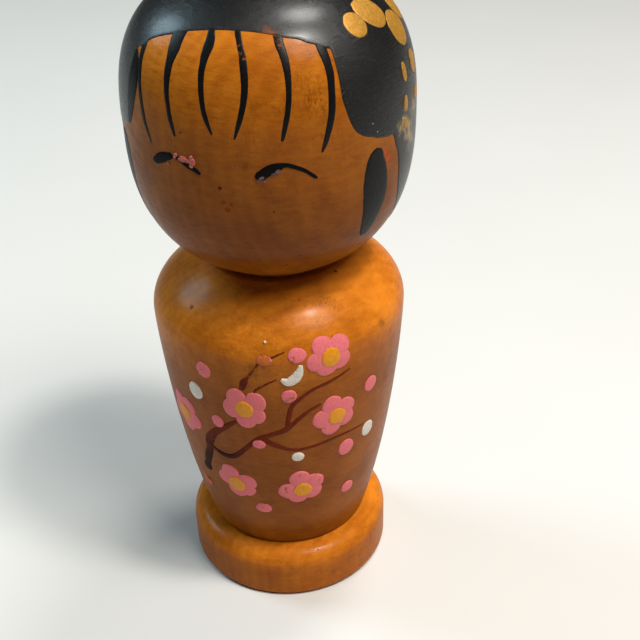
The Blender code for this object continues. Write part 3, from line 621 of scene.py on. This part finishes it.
def gold_paint(name, colour, deep):
    """Gold paint: fine bright flakes in a duller brown-gold binder."""
    material, graph = new_finish(name)
    place = millimetres(graph)
    flake = graph.add("ShaderNodeSeparateColor", (place.cells(9.0, 1),))
    mottle = place.noise(2.2, 5.0, 0.7)
    shade = graph.mix((flake * 0.35 + mottle * 0.8).step(0.3, 0.85), deep, colour)
    # Worn patches darken the gold; on the dots round the right side, raised by their chipped values, they are partly
    # painted shade
    worn = (place.noise(1.2, 5.0, 0.75) + mark_value(graph, "chipped") * 0.2).step(0.70, 0.76)
    shade = graph.mix(worn, shade, (0.03, 0.024, 0.018, 1))
    finish(graph, shade, 0.42 + flake * 0.2, flake * 0.25 + mottle * 0.6, 0.04 * MM, metallic=0.4 - worn * 0.35)
    return material


# Meshes

def new_piece(name, mesh):
    piece = bpy.data.objects.new(name, mesh)
    bpy.context.scene.collection.objects.link(piece)
    return piece


def settle(piece):
    """Turns what the modifiers make into a plain mesh, and removes them."""
    graph = bpy.context.evaluated_depsgraph_get()
    mesh = bpy.data.meshes.new_from_object(piece.evaluated_get(graph), depsgraph=graph)
    old = piece.data
    piece.modifiers.clear()
    piece.data = mesh
    bpy.data.meshes.remove(old)
    mesh.name = piece.name
    return piece


def outward(piece):
    """Merges doubles and points every face out of its closed shell."""
    solid = bmesh.new()
    solid.from_mesh(piece.data)
    bmesh.ops.remove_doubles(solid, verts=solid.verts, dist=MERGE)
    bmesh.ops.recalc_face_normals(solid, faces=solid.faces)
    solid.to_mesh(piece.data)
    solid.free()
    return piece


def smooth(piece, angle):
    piece.data.shade_smooth()
    piece.data.set_sharp_from_angle(angle=math.radians(angle))
    return piece


def dress(piece, material, body, nodes):
    """Gives a finished piece its material and its place in the frame."""
    piece.data.materials.clear()
    piece.data.materials.append(material)
    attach(piece, body)
    if nodes:
        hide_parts(*nodes)


def turned(name, profile, steps):
    """A solid of revolution from an outline that runs down its outer side."""
    mesh = bpy.data.meshes.new(name)
    mesh.from_pydata([(r, 0, z) for r, z in profile], [(i, i + 1) for i in range(len(profile) - 1)], [])
    piece = new_piece(name, mesh)
    screw = piece.modifiers.new("Turning", "SCREW")
    screw.angle = math.tau
    screw.steps = screw.render_steps = steps
    screw.use_merge_vertices = True
    screw.merge_threshold = MERGE
    return smooth(outward(settle(piece)), 40)


def points_mesh(name, points, values, edges=()):
    """Points, and edges between them, with a number of each name at each point."""
    mesh = bpy.data.meshes.new(name)
    mesh.from_pydata([tuple(p) for p in points], list(edges), [])
    for key, column in values.items():
        mesh.attributes.new(key, "FLOAT", "POINT").data.foreach_set("value", np.array(column, np.float32))
    return mesh


# Geometry nodes

WRAP, STROKES, DABS = "Wrap on a turned piece", "Brush strokes", "Enamel dabs"
MARK_INPUTS = (("Outline", "Object", None), ("Material", "Material", None), ("Thickness", "Float", 0.2 * MM),
               ("Unevenness", "Float", 0.1), ("Seed", "Float", 0.0))
STROKE_STEP = 0.15 * MM
STROKE_SIDES = 16
DAB_SEGMENTS = 32
DAB_RINGS = 14


def new_tree(name, inputs):
    """A geometry tree with named inputs: (name, kind of socket, default)."""
    tree = bpy.data.node_groups.new(name, "GeometryNodeTree")
    tree.interface.new_socket("Geometry", in_out="INPUT", socket_type="NodeSocketGeometry")
    for label, kind, default in inputs:
        socket = tree.interface.new_socket(label, in_out="INPUT", socket_type="NodeSocket" + kind)
        if default is not None:
            socket.default_value = default
    tree.interface.new_socket("Geometry", in_out="OUTPUT", socket_type="NodeSocketGeometry")
    graph = Graph(tree)
    entry = graph.node("NodeGroupInput")
    return graph, {socket.name: Wire(graph, socket) for socket in entry.outputs if socket.name}


def named(graph, name):
    return graph.add("GeometryNodeInputNamedAttribute", {"Name": name}, data_type="FLOAT")


def stored(graph, geometry, name, value, data_type="FLOAT"):
    return graph.add("GeometryNodeStoreNamedAttribute", {"Geometry": geometry, "Name": name, "Value": value},
                     data_type=data_type, domain="POINT")


def wrap_tree():
    """Bends flat marks (across, up, out) onto a turned piece, whose outline is a line of (radius, 0, height)."""
    graph, given = new_tree(WRAP, MARK_INPUTS[:1])
    outline = graph.add("GeometryNodeObjectInfo", {"Object": given["Outline"]}, output="Geometry")
    curve = graph.add("GeometryNodeMeshToCurve", {"Mesh": outline})
    across, up, out = graph.add("GeometryNodeInputPosition").split()
    sample = graph.node("GeometryNodeSampleCurve", {"Curves": curve, "Length": -up}, mode="LENGTH")
    radius, _, height = Wire(graph, sample.outputs["Position"]).split()
    outwards, _, downwards = Wire(graph, sample.outputs["Tangent"]).split()
    angle = named(graph, "azimuth") + across / radius
    reach = radius - out * downwards
    place = graph.combine(reach * angle.math("SINE"), -(reach * angle.math("COSINE")), height + out * outwards)
    bent = graph.add("GeometryNodeSetPosition", {"Geometry": given["Geometry"], "Position": place})
    graph.node("NodeGroupOutput", (bent,))


def ending(graph, geometry, given):
    """Wraps the marks, realizes them, and gives them their finish."""
    wrapped = graph.add("GeometryNodeGroup", {"Geometry": geometry, "Outline": given["Outline"]},
                        node_tree=geometry_tree(WRAP))
    real = graph.add("GeometryNodeRealizeInstances", (wrapped,))
    done = graph.add("GeometryNodeSetMaterial", {"Geometry": real, "Material": given["Material"]})
    graph.node("NodeGroupOutput", (done,))


def stroke_tree():
    """Brush strokes along flat paths: a low crown across, tapering with the path's own width."""
    graph, given = new_tree(STROKES, MARK_INPUTS)
    line = graph.add("GeometryNodeMeshToCurve", {"Mesh": given["Geometry"]})
    line = graph.add("GeometryNodeCurveSplineType", {"Curve": line}, spline_type="CATMULL_ROM")
    line = graph.add("GeometryNodeResampleCurve", {"Curve": line, "Length": STROKE_STEP}, mode="LENGTH")
    half = named(graph, "half_width").most(0.01 * MM)
    length = graph.add("GeometryNodeSplineParameter", output="Length")
    line = stored(graph, line, "along", length)
    number = named(graph, "number")
    wobble = graph.combine(length * 700.0, number * 9.0, given["Seed"]).noise(1.0, 3.0)
    half = half * (1.0 + (wobble - 0.5) * given["Unevenness"] * 2.0)
    line = stored(graph, line, "half", half)
    line = graph.add("GeometryNodeSetCurveNormal", {"Curve": line}, mode="Z_UP")
    ring = graph.add("GeometryNodeCurvePrimitiveCircle", {"Resolution": STROKE_SIDES, "Radius": 1.0})
    reach = named(graph, "half")
    swept = graph.add("GeometryNodeCurveToMesh", {"Curve": line, "Profile Curve": ring, "Scale": reach,
                                                  "Fill Caps": True})
    x, y, z = graph.add("GeometryNodeInputPosition").split()
    lift = named(graph, "lift")
    crown = (z - lift) / reach
    crown = crown.math("SIGN") * crown.math("ABSOLUTE") ** 0.7
    full = (reach / (0.4 * MM)).least(1.0) ** 0.5
    across = (1.0 - (crown.math("ABSOLUTE") ** 2.0)).most(0.0) ** 0.5 * reach * 1000.0
    mark = graph.combine(across, named(graph, "along") * 1000.0, number * 3.0)
    swept = stored(graph, swept, "mark", mark, "FLOAT_VECTOR")
    place = graph.combine(x, y, lift + crown * given["Thickness"] * full)
    ending(graph, graph.add("GeometryNodeSetPosition", {"Geometry": swept, "Position": place}), given)


def dab_tree():
    """Dabs of thick enamel: low domes with full edges, one at each point, as wide and high as it says."""
    graph, given = new_tree(DABS, MARK_INPUTS)
    ball = graph.add("GeometryNodeMeshUVSphere", {"Segments": DAB_SEGMENTS, "Rings": DAB_RINGS, "Radius": 1.0})
    x, y, z = graph.add("GeometryNodeInputPosition").split()
    full = z.math("SIGN") * z.math("ABSOLUTE") ** 0.62
    ball = graph.add("GeometryNodeSetPosition", {"Geometry": ball, "Position": graph.combine(x, y, full)})
    turn = graph.add("FunctionNodeEulerToRotation", (graph.combine(0.0, 0.0, named(graph, "turn")),))
    across, number = named(graph, "across"), named(graph, "number")
    dabs = graph.add("GeometryNodeInstanceOnPoints", {
        "Points": given["Geometry"], "Instance": ball, "Rotation": turn,
        "Scale": graph.combine(across, named(graph, "up"), given["Thickness"])})
    real = graph.add("GeometryNodeRealizeInstances", (dabs,))
    place = graph.add("GeometryNodeInputPosition")
    seeded = place.vector("ADD", graph.combine(given["Seed"], number * 0.01, 0.0))
    drift = seeded.noise(900.0, 2.0, 0.5, 0.0, 1).vector("SUBTRACT", (0.5, 0.5, 0.5))
    shift = drift.scaled(across * given["Unevenness"] * 1.4).stretched(1.0, 1.0, 0.35)
    mark = place.scaled(1000.0).vector("ADD", graph.combine(0.0, 0.0, number * 3.0))
    real = stored(graph, real, "mark", mark, "FLOAT_VECTOR")
    ending(graph, graph.add("GeometryNodeSetPosition", {"Geometry": real, "Offset": shift}), given)


TREES = {WRAP: wrap_tree, STROKES: stroke_tree, DABS: dab_tree}


def geometry_tree(name):
    """The named tree, made on first use."""
    if name not in bpy.data.node_groups:
        TREES[name]()
    return bpy.data.node_groups[name]


def grown(name, mesh, tree_name, skin, **inputs):
    """Runs a tree over a mesh with the given inputs, and keeps the result as a plain mesh."""
    line = [(r, 0, z) for r, z in skin.outline]
    links = [(i, i + 1) for i in range(len(line) - 1)]
    outline = new_piece("outline", points_mesh("outline", line, {}, links))
    piece = new_piece(name, mesh)
    modifier = piece.modifiers.new(tree_name, "NODES")
    modifier.node_group = geometry_tree(tree_name)
    values = {"Outline": outline, **inputs}
    for socket in modifier.node_group.interface.items_tree:
        if socket.in_out == "INPUT" and socket.name in values:
            modifier[socket.identifier] = values[socket.name]
    settle(piece)
    bpy.data.objects.remove(outline, do_unlink=True)
    return smooth(outward(piece), 60)


# Marks

def strokes(name, paths, skin, material, thickness, seed, unevenness):
    """Brush strokes from lists of (azimuth, level, width in millimetres and, where chipped, how much)."""
    points, edges = [], []
    values = {key: [] for key in ("azimuth", "half_width", "lift", "number", "chipped")}
    for number, path in enumerate(paths):
        middle = sum(p[0] for p in path) / len(path)
        for i, (azimuth, level, width, *chipped) in enumerate(path):
            length = skin.arc_at(level)
            if i:
                edges.append((len(points) - 1, len(points)))
            points.append((skin.radius_at(length) * math.radians(azimuth - middle), -length, 0))
            row = (math.radians(middle), width / 2 * MM, 0, number, sum(chipped))
            for key, value in zip(values, row):
                values[key].append(value)
    return grown(name, points_mesh(name, points, values, edges), STROKES, skin, Material=material,
                 Thickness=thickness, Seed=float(seed), Unevenness=unevenness)


def dabs(name, rows, skin, material, thickness, seed, unevenness, lift=0, turn=0):
    """Dabs from rows of (azimuth, level, width, height, chipped) that may end in a shift across and up."""
    points = []
    values = {key: [] for key in ("azimuth", "across", "up", "turn", "chipped", "number")}
    for number, (azimuth, level, width, height, chipped, *shift) in enumerate(rows):
        right, above = shift or (0, 0)
        points.append((right * MM, -skin.arc_at(level) + above * MM, lift))
        row = (math.radians(azimuth), width / 2 * MM, height / 2 * MM, turn, chipped, number)
        for key, value in zip(values, row):
            values[key].append(value)
    return grown(name, points_mesh(name, points, values), DABS, skin, Material=material, Thickness=thickness,
                 Seed=float(seed), Unevenness=unevenness)


def paint(make, name, rows, body, slot, material, nodes, *look, **placing):
    """Brushes or dabs marks onto the head or the torso, and dresses them."""
    piece = make(name, rows, HEAD_SKIN if body == HEAD else BODY_SKIN, material, *look, **placing)
    dress(piece, material, body, nodes)


def petal_rows(azimuth, level, width, height, chipped, petals, chance):
    """A dab for each petal of a blossom, from the petals' places across and up."""
    sizes = [1 + chance.uniform(-0.06, 0.06) for _ in petals]
    return [(azimuth, level, size * width, size * height, chipped, *place) for size, place in zip(sizes, petals)]


def smooth_edge(half, count=600):
    """A smooth line through the points of half an edge, down to the nape."""
    t = np.linspace(0, len(half) - 1, count)
    slope = np.gradient(half, axis=0)
    i = np.minimum(t.astype(int), len(half) - 2)
    u = (t - i)[:, None]
    edge = ((2 * u ** 3 - 3 * u ** 2 + 1) * half[i] + (u ** 3 - 2 * u ** 2 + u) * slope[i]
            + (-2 * u ** 3 + 3 * u ** 2) * half[i + 1] + (u ** 3 - u ** 2) * slope[i + 1])
    edge[:, 0] = np.maximum.accumulate(edge[:, 0] + np.arange(count) * 1e-6)
    return edge[edge[:, 1] > NAPE]


# The hair's grid: its columns' width at the opening and number round the back, its rounded edge and sunken inner side
HAIR_COLUMN = 0.2 * MM
BACK_COLUMNS = 130
HAIR_EDGE = 0.35 * MM
HAIR_SUNK = 0.12 * MM


def hair_mesh(thickness):
    """The hair as a grid: columns run down from the crown to the opening's edge or the nape."""
    skin = HEAD_SKIN
    left, right = (smooth_edge(np.array(half, float)) for half in (HAIR_LEFT, HAIR_RIGHT))
    azimuths = np.concatenate([-left[::-1, 0], right[1:, 0]])
    levels = np.concatenate([left[::-1, 1], right[1:, 1]])
    arcs = np.array([skin.arc_at(level) for level in levels])
    radii = np.array([skin.radius_at(a) for a in arcs])
    flat = np.stack([radii * np.radians(azimuths), -arcs], 1)
    walked = np.concatenate([[0], np.cumsum(np.hypot(*np.diff(flat, axis=0).T))])
    even = np.linspace(0, walked[-1], int(walked[-1] / HAIR_COLUMN))
    front = np.interp(even, walked, azimuths)
    front_arcs = np.interp(even, walked, arcs)
    nape = skin.arc_at(NAPE)
    back = np.linspace(front[-1], front[0] + 360, BACK_COLUMNS)[1:-1]
    columns = np.concatenate([front, back])
    ends = np.concatenate([front_arcs, np.full(len(back), nape)])
    outline = np.stack([np.interp(front_arcs, skin.arcs, skin.outline[:, 0]) * np.radians(front), -front_arcs], 1)
    near = np.array([0, 0.03, 0.07, 0.13, 0.22, 0.34, 0.5, 0.75]) * MM
    far = np.linspace(0, 1, 57)[1:]
    verts, angles = [], []
    for azimuth, end in zip(columns, ends):
        lengths = end - np.concatenate([near, near[-1] + (end - near[-1]) * far])
        radius = np.interp(lengths, skin.arcs, skin.outline[:, 0])
        across = radius * math.radians(azimuth if azimuth <= 180 else azimuth - 360)
        flat = np.stack([across, -lengths], 1)
        gap = np.sqrt(((flat[:, None] - outline[None]) ** 2).sum(2)).min(1)
        gap = np.minimum(gap, np.abs(nape - lengths) + (0 if end > nape - 1e-9 else 1))
        rise = 1 - (1 - np.clip(gap / HAIR_EDGE, 0, 1)) ** 2.2
        verts += [(0, -length, thickness * max(up, 0.02)) for length, up in zip(lengths, rise)]
        verts += [(0, -length, -HAIR_SUNK) for length in lengths[::-1]]
        angles += [math.radians(azimuth)] * (2 * len(lengths))
    ring = 2 * (len(near) + len(far))
    faces = []
    for c in range(len(columns)):
        n = (c + 1) % len(columns)
        for r in range(ring):
            s = (r + 1) % ring
            faces.append((c * ring + r, n * ring + r, n * ring + s, c * ring + s))
    mesh = bpy.data.meshes.new("hair")
    mesh.from_pydata(verts, [], faces)
    mesh.attributes.new("azimuth", "FLOAT", "POINT").data.foreach_set("value", np.array(angles, np.float32))
    return mesh


# Settings and operators

def thickness_setting(name, description, default):
    return FloatProperty(name=name, description=description, default=default, unit="LENGTH", precision=5)


def colour_setting(name, description, *default):
    return FloatVectorProperty(name=name, description=description, subtype="COLOR", size=3, default=linear(default),
                               min=0, max=1)


class DollSettings(bpy.types.PropertyGroup):
    """Sizes and colours of the doll's finish."""
    facets: IntProperty(name="Facets", description="Facets round a turned piece", default=192, min=48, max=512)
    hair_thickness: thickness_setting("Hair thickness", "How thick the lacquered hair lies", 0.07 * MM)
    stroke_thickness: thickness_setting("Stroke thickness", "How thick a brush stroke lies", 0.055 * MM)
    dab_thickness: thickness_setting("Dab thickness", "How thick a petal or bud lies", 0.2 * MM)
    wood_light: colour_setting("Light wood", "Varnished wood where it is palest", 226, 134, 36)
    wood_dark: colour_setting("Dark wood", "Varnished wood along its darkest grain", 180, 97, 19)
    face_light: colour_setting("Light face", "The head's wood where it is palest", 192, 114, 27)
    face_dark: colour_setting("Dark face", "The head's wood along its darkest grain", 152, 80, 15)
    hair: colour_setting("Hair", "The lacquer of the hair", 18, 18, 18)
    pink: colour_setting("Pink", "Enamel of the petals and buds", 228, 116, 122)
    yellow: colour_setting("Yellow", "Enamel of the blossoms' centres", 230, 150, 16)
    white: colour_setting("White", "Enamel of the white buds", 226, 218, 206)
    brown: colour_setting("Brown", "Enamel of the branches", 116, 40, 14)
    gold: colour_setting("Gold", "Gold paint on the hair", 198, 142, 46)


def numbered(stem, count):
    return [f"{stem}_{i + 1}" for i in range(count)]


class Step:
    """What the operators share: each makes its pieces from the doll's settings."""

    def execute(self, context):
        self.make(context.scene.doll)
        return {"FINISHED"}


class DOLL_OT_base(Step, bpy.types.Operator):
    """Turn the round base"""
    bl_idname = "doll.base"
    bl_label = "Base"

    def make(self, s):
        top, foot, edge = 2.4 * MM, 0.9 * MM, 0.15 * MM
        bore, floor = SPIGOT_RADIUS + FIT, SPIGOT_END - SEAT_GAP
        profile = [(0, floor), (bore, floor), (bore, BASE_TOP - edge)]
        profile += arc((bore + edge, BASE_TOP - edge), edge, 180, 90, 3)
        profile += arc((BASE_RADIUS - top, BASE_TOP - top), top, 90, 0, 20)
        profile += arc((BASE_RADIUS - foot, foot), foot, 0, -90, 12)
        piece = turned("turned_base", profile + [(0, 0)], s.facets)
        # Painted shade: the base is darker towards its foot
        wood = varnished_wood("body_wood_base", rgba(s.wood_light), rgba(s.wood_dark), 3.0, painted_shade=(4, 9, 0.62))
        dress(piece, wood, TORSO, ["base"])


class DOLL_OT_body(Step, bpy.types.Operator):
    """Turn the body with its socket and spigot"""
    bl_idname = "doll.body"
    bl_label = "Body"

    def make(self, s):
        mouth, chamber = WAIST_RADIUS + FIT, BULB_RADIUS + FIT
        chamber_top, floor = SEAT_Z - WAIST_LENGTH, PEG_END - SEAT_GAP
        edge = 0.25 * MM
        profile = [(0, floor), (chamber, floor), (chamber, chamber_top), (mouth, chamber_top), (mouth, SEAT_Z)]
        profile += [(SEAT_RADIUS - edge, SEAT_Z)] + [p for p in body_outline(80) if p[1] < SEAT_Z - 0.1 * edge]
        profile += arc((FOOT_RADIUS - edge, FOOT_Z + edge), edge, -10, -90, 4)
        profile += [(SPIGOT_RADIUS, FOOT_Z), (SPIGOT_RADIUS, SPIGOT_END), (0, SPIGOT_END)]
        piece = turned("turned_body", profile, s.facets)
        # Painted shade: the body is darker from the shoulder down to the foot
        wood = varnished_wood("body_wood", rgba(s.wood_light), rgba(s.wood_dark), 1.0, BODY_SKIN, BODY_STAINS,
                              BODY_SPOTS, painted_shade=(35, 48, 0.42))
        dress(piece, wood, TORSO, ["body"])


class DOLL_OT_head(Step, bpy.types.Operator):
    """Turn the head and its neck peg"""
    bl_idname = "doll.head"
    bl_label = "Head and neck peg"

    def make(self, s):
        socket, socket_top, edge = PEG_RADIUS + FIT, PEG_TOP + SEAT_GAP, 0.2 * MM
        profile = head_outline(90)
        profile += arc((NECK_RADIUS - edge, NECK_BOTTOM + edge), edge, 0, -90, 4)
        profile += [(socket, NECK_BOTTOM), (socket, socket_top), (0, socket_top)]
        piece = turned("turned_head", profile, s.facets)
        # Painted shade: the head's wood is darker from the crown down towards the chin
        wood = varnished_wood("head_wood", rgba(s.face_light), rgba(s.face_dark), 2.0, HEAD_SKIN, HEAD_STAINS,
                              smears=RED_SMEARS, painted_shade=(60, 86, 0.46), gloss=0.3, lines=0.3)
        dress(piece, wood, HEAD, ["head"])

        chamfer = 0.6 * MM
        bulb_top = SEAT_Z - WAIST_LENGTH - SEAT_GAP
        dome = 0.6 * (bulb_top - PEG_END)
        profile = [(0, PEG_TOP), (PEG_RADIUS - chamfer, PEG_TOP), (PEG_RADIUS, PEG_TOP - chamfer),
                   (PEG_RADIUS, NECK_BOTTOM), (WAIST_RADIUS, NECK_BOTTOM), (WAIST_RADIUS, bulb_top),
                   (BULB_RADIUS, bulb_top)]
        for angle in np.linspace(0, math.pi / 2, 16)[:-1]:
            profile.append((BULB_RADIUS * math.cos(angle), PEG_END + dome * (1 - math.sin(angle))))
        peg = turned("turned_neck_peg", profile + [(0, PEG_END)], 96)
        pale = bare_wood("peg_wood", screen(226, 190, 138), screen(176, 128, 78), 5.0)
        dress(peg, pale, HEAD, ["neck_peg"])


class DOLL_OT_hair(Step, bpy.types.Operator):
    """Lay the lacquered hair, the fringe and the side locks over the head"""
    bl_idname = "doll.hair"
    bl_label = "Hair"

    def make(self, s):
        black = lacquer("hair_black", rgba(s.hair), rgba(s.face_dark, 0.5), 4.0)
        cap = grown("hair_cap", hair_mesh(s.hair_thickness), WRAP, HEAD_SKIN)
        dress(cap, black, HEAD, ["hair"])
        strand = enamel("hair_strands", rgba(s.hair), rgba(s.hair, 0.6), rgba(s.face_dark, 0.55), 0.8, 0.34, 0.7,
                        ior=1.16)
        paint(strokes, "fringe", (*FRINGE, TEMPLE), HEAD, "hair_black", strand, ["hair"],
              s.stroke_thickness, 1, 0.12)
        other = tuple((-azimuth, *rest) for azimuth, *rest in SIDE_LOCK)
        paint(strokes, "side_locks", (other, SIDE_LOCK), HEAD, "hair_black", strand,
              ["side_lock_left", "side_lock_right"], s.stroke_thickness, 2, 0.06)


class DOLL_OT_face(Step, bpy.types.Operator):
    """Brush on the eyes, nose and mouth"""
    bl_idname = "doll.face"
    bl_label = "Face"

    def make(self, s):
        wood = rgba(s.face_dark)
        faint = {"gloss": 0.45, "coat": 0.0, "ior": 1.12}
        black = enamel("face_black", screen(16, 13, 12), screen(9, 8, 7), wood, 0.9, 0.36, coat=0.02, ior=1.12)
        paint(strokes, "eye_right_stroke", (RIGHT_EYE,), HEAD, "face_black", black, ["eye_right"],
              0.12 * MM, 3, 0.05)
        paint(strokes, "eye_left_stroke", (LEFT_EYE,), HEAD, "face_black", black, ["eye_left"], 0.12 * MM, 4, 0.1)
        undercoat = enamel("petal_pink_chips", screen(206, 122, 108), screen(150, 50, 40), wood, 1.4)
        paint(dabs, "undercoat_chips", EYE_CHIPS, HEAD, "petal_pink", undercoat, [], 0.15 * MM, 14, 0.6, turn=-0.4)
        # Mauve dabs under the right eye: partly chips, partly a painted sheen along the stroke's lower edge
        mauve = enamel("petal_pink_lash", screen(124, 98, 108), screen(66, 44, 50), wood, 1.4)
        paint(dabs, "lash_chips", LASH_CHIPS_AND_SHEEN, HEAD, "petal_pink", mauve, [], 0.08 * MM, 16, 0.5,
              lift=0.05 * MM, turn=0.5)
        red = enamel("mouth_red", screen(140, 62, 18), screen(122, 54, 14), wood, 1.2, **faint)
        paint(dabs, "mouth_touches", MOUTH_TOUCHES, HEAD, "mouth_red", red, ["mouth"], 0.03 * MM, 5, 0.4, turn=0.3)
        umber = enamel("mouth_red_nose", screen(92, 32, 12), screen(64, 22, 8), wood, 1.2, **faint)
        paint(dabs, "nose_dot", (NOSE,), HEAD, "mouth_red", umber, ["nose"], 0.06 * MM, 13, 0.2, turn=0.3)


class DOLL_OT_branches(Step, bpy.types.Operator):
    """Brush on the plum boughs and twigs"""
    bl_idname = "doll.branches"
    bl_label = "Branches"

    def make(self, s):
        brown = enamel("branch_brown", rgba(s.brown), rgba(s.brown, 0.5), rgba(s.wood_dark, 0.5), 1.0, 0.5, 0.6,
                       DARK_BARK, coat=0.0, ior=1.16)
        paint(strokes, "branches", BOUGHS, TORSO, "branch_brown", brown, ["branch", "twig_1", "twig_2"],
              0.1 * MM, 6, 0.14)


class DOLL_OT_blossoms(Step, bpy.types.Operator):
    """Dab on the plum blossoms and the pink and white buds"""
    bl_idname = "doll.blossoms"
    bl_label = "Blossoms and buds"

    def make(self, s):
        wood = rgba(s.wood_dark)
        chance = np.random.default_rng(7)
        pink = enamel("petal_pink", rgba(s.pink), rgba(s.pink, 0.84), wood, coat=0.06, ior=1.2, rust=0.8)
        rows = [row for blossom in BLOSSOMS for row in petal_rows(*blossom, chance)]
        paint(dabs, "petals", rows, TORSO, "petal_pink", pink, numbered("blossom", len(BLOSSOMS)),
              s.dab_thickness, 7, 0.12)
        yellow = enamel("centre_yellow", rgba(s.yellow), rgba(s.yellow, 0.75), wood)
        rows = [(azimuth, level, *CENTRE, 0.5 * chipped) for azimuth, level, _, _, chipped, _ in BLOSSOMS]
        paint(dabs, "blossom_centres", rows, TORSO, "centre_yellow", yellow,
              numbered("blossom_centre", len(BLOSSOMS)), 0.2 * MM, 8, 0.16, lift=0.14 * MM)
        paint(dabs, "pink_buds", (*PINK_BUDS, FADED_BUD), TORSO, "petal_pink", pink,
              numbered("pink_bud", len(PINK_BUDS)), s.dab_thickness, 9, 0.16)
        white = enamel("bud_white", rgba(s.white), rgba(s.white, 0.75), wood)
        paint(dabs, "white_buds", WHITE_BUDS, TORSO, "bud_white", white, numbered("white_bud", 3),
              s.dab_thickness, 10, 0.16)
        paint(strokes, "chipped_white_bud", (CHIPPED_BUD,), TORSO, "bud_white", white, ["white_bud_4"],
              s.dab_thickness, 15, 0.3)


class DOLL_OT_gold(Step, bpy.types.Operator):
    """Dab the gold blossom and its trail of dots on the hair"""
    bl_idname = "doll.gold"
    bl_label = "Gold marks"

    def make(self, s):
        gold = gold_paint("gold", rgba(s.gold), rgba(s.gold, 0.5))
        chance = np.random.default_rng(11)
        turns = [math.radians(GOLD_SPIN + 360 * i / PETALS) for i in range(PETALS)]
        petals = [(GOLD_RING * math.sin(turn), GOLD_RING * math.cos(turn)) for turn in turns]
        rows = petal_rows(*GOLD_BLOSSOM, GOLD_PETAL, GOLD_PETAL, 0.1, petals, chance)
        paint(dabs, "gold_marks", (*rows, *GOLD_DOTS), HEAD, "gold", gold,
              ["gold_blossom"] + numbered("gold_dot", len(GOLD_DOTS)), 0.1 * MM, 12, 0.1, lift=0.06 * MM)


def area_light(name, place, size, power, colour):
    """A round lamp at a place, turned to the doll's middle."""
    data = bpy.data.lights.new(name, "AREA")
    data.shape = "DISK"
    data.size = size
    data.energy = power
    data.color = colour
    light = bpy.data.objects.new(name, data)
    bpy.context.scene.collection.objects.link(light)
    light.location = place
    light.rotation_euler = (Vector(MIDDLE) - place).to_track_quat("-Z", "Y").to_euler()


class DOLL_OT_stage(bpy.types.Operator):
    """Set the floor, the soft light and the camera"""
    bl_idname = "doll.stage"
    bl_label = "Stage"

    def execute(self, context):
        scene = context.scene
        size = FLOOR_SIZE
        mesh = bpy.data.meshes.new("floor")
        mesh.from_pydata([(-size, -size, 0), (size, -size, 0), (size, size, 0), (-size, size, 0)], [], [(0, 1, 2, 3)])
        material, graph = new_finish("floor")
        shade = graph.mix(millimetres(graph).noise(0.02, 2.0), *FLOOR_SHADES)
        finish(graph, shade, 0.7)
        mesh.materials.append(material)
        new_piece("floor", mesh)

        world = bpy.data.worlds.new("Soft room")
        world.use_nodes = True
        background = world.node_tree.nodes["Background"]
        background.inputs["Color"].default_value = (1.0, 1.0, 1.0, 1)
        background.inputs["Strength"].default_value = 0.05
        scene.world = world
        for name, azimuth, height, width, power, tint in LAMPS:
            a, e = math.radians(azimuth), math.radians(height)
            place = Vector((math.sin(a) * math.cos(e), -math.cos(a) * math.cos(e), math.sin(e))) * LAMP_DISTANCE
            area_light(name, place + Vector(MIDDLE), width, power, tint)

        turn = Matrix.Rotation(math.radians(CAMERA_TURN), 3, "Z")
        pitch, roll = math.radians(CAMERA_PITCH), math.radians(CAMERA_ROLL)
        forward = Vector((0, math.cos(pitch), -math.sin(pitch)))
        side, rise = Vector((1, 0, 0)), Vector((0, math.sin(pitch), math.cos(pitch)))
        right = math.cos(roll) * side + math.sin(roll) * rise
        above = -math.sin(roll) * side + math.cos(roll) * rise
        axes = Matrix((turn @ right, turn @ above, -(turn @ forward))).transposed()
        data = bpy.data.cameras.new("camera")
        data.sensor_width = SENSOR
        data.lens = FOCAL_LENGTH * SENSOR
        data.clip_start = 0.005
        camera = bpy.data.objects.new("camera", data)
        scene.collection.objects.link(camera)
        camera.matrix_world = Matrix.Translation(turn @ Vector(CAMERA_PLACE) * MM) @ axes.to_4x4()
        scene.camera = camera
        scene.view_settings.view_transform = "Standard"
        return {"FINISHED"}


class DOLL_PT_panel(bpy.types.Panel):
    """Lists the doll's settings and steps"""
    bl_idname = "DOLL_PT_panel"
    bl_label = "Wooden Doll"
    bl_space_type = "VIEW_3D"
    bl_region_type = "UI"
    bl_category = "Doll"

    def draw(self, context):
        settings = context.scene.doll
        for name in DollSettings.__annotations__:
            self.layout.prop(settings, name)
        for step in STEPS:
            self.layout.operator(step.bl_idname)


STEPS = (DOLL_OT_base, DOLL_OT_body, DOLL_OT_head, DOLL_OT_hair, DOLL_OT_face, DOLL_OT_branches, DOLL_OT_blossoms,
         DOLL_OT_gold, DOLL_OT_stage)
CLASSES = (DollSettings, *STEPS, DOLL_PT_panel)


def register():
    for item in CLASSES:
        bpy.utils.register_class(item)
    bpy.types.Scene.doll = PointerProperty(type=DollSettings)


def unregister():
    del bpy.types.Scene.doll
    for item in reversed(CLASSES):
        bpy.utils.unregister_class(item)


def main():
    register()
    for step in STEPS:
        group, name = step.bl_idname.split(".")
        getattr(getattr(bpy.ops, group), name)()


if __name__ == "__main__":
    main()
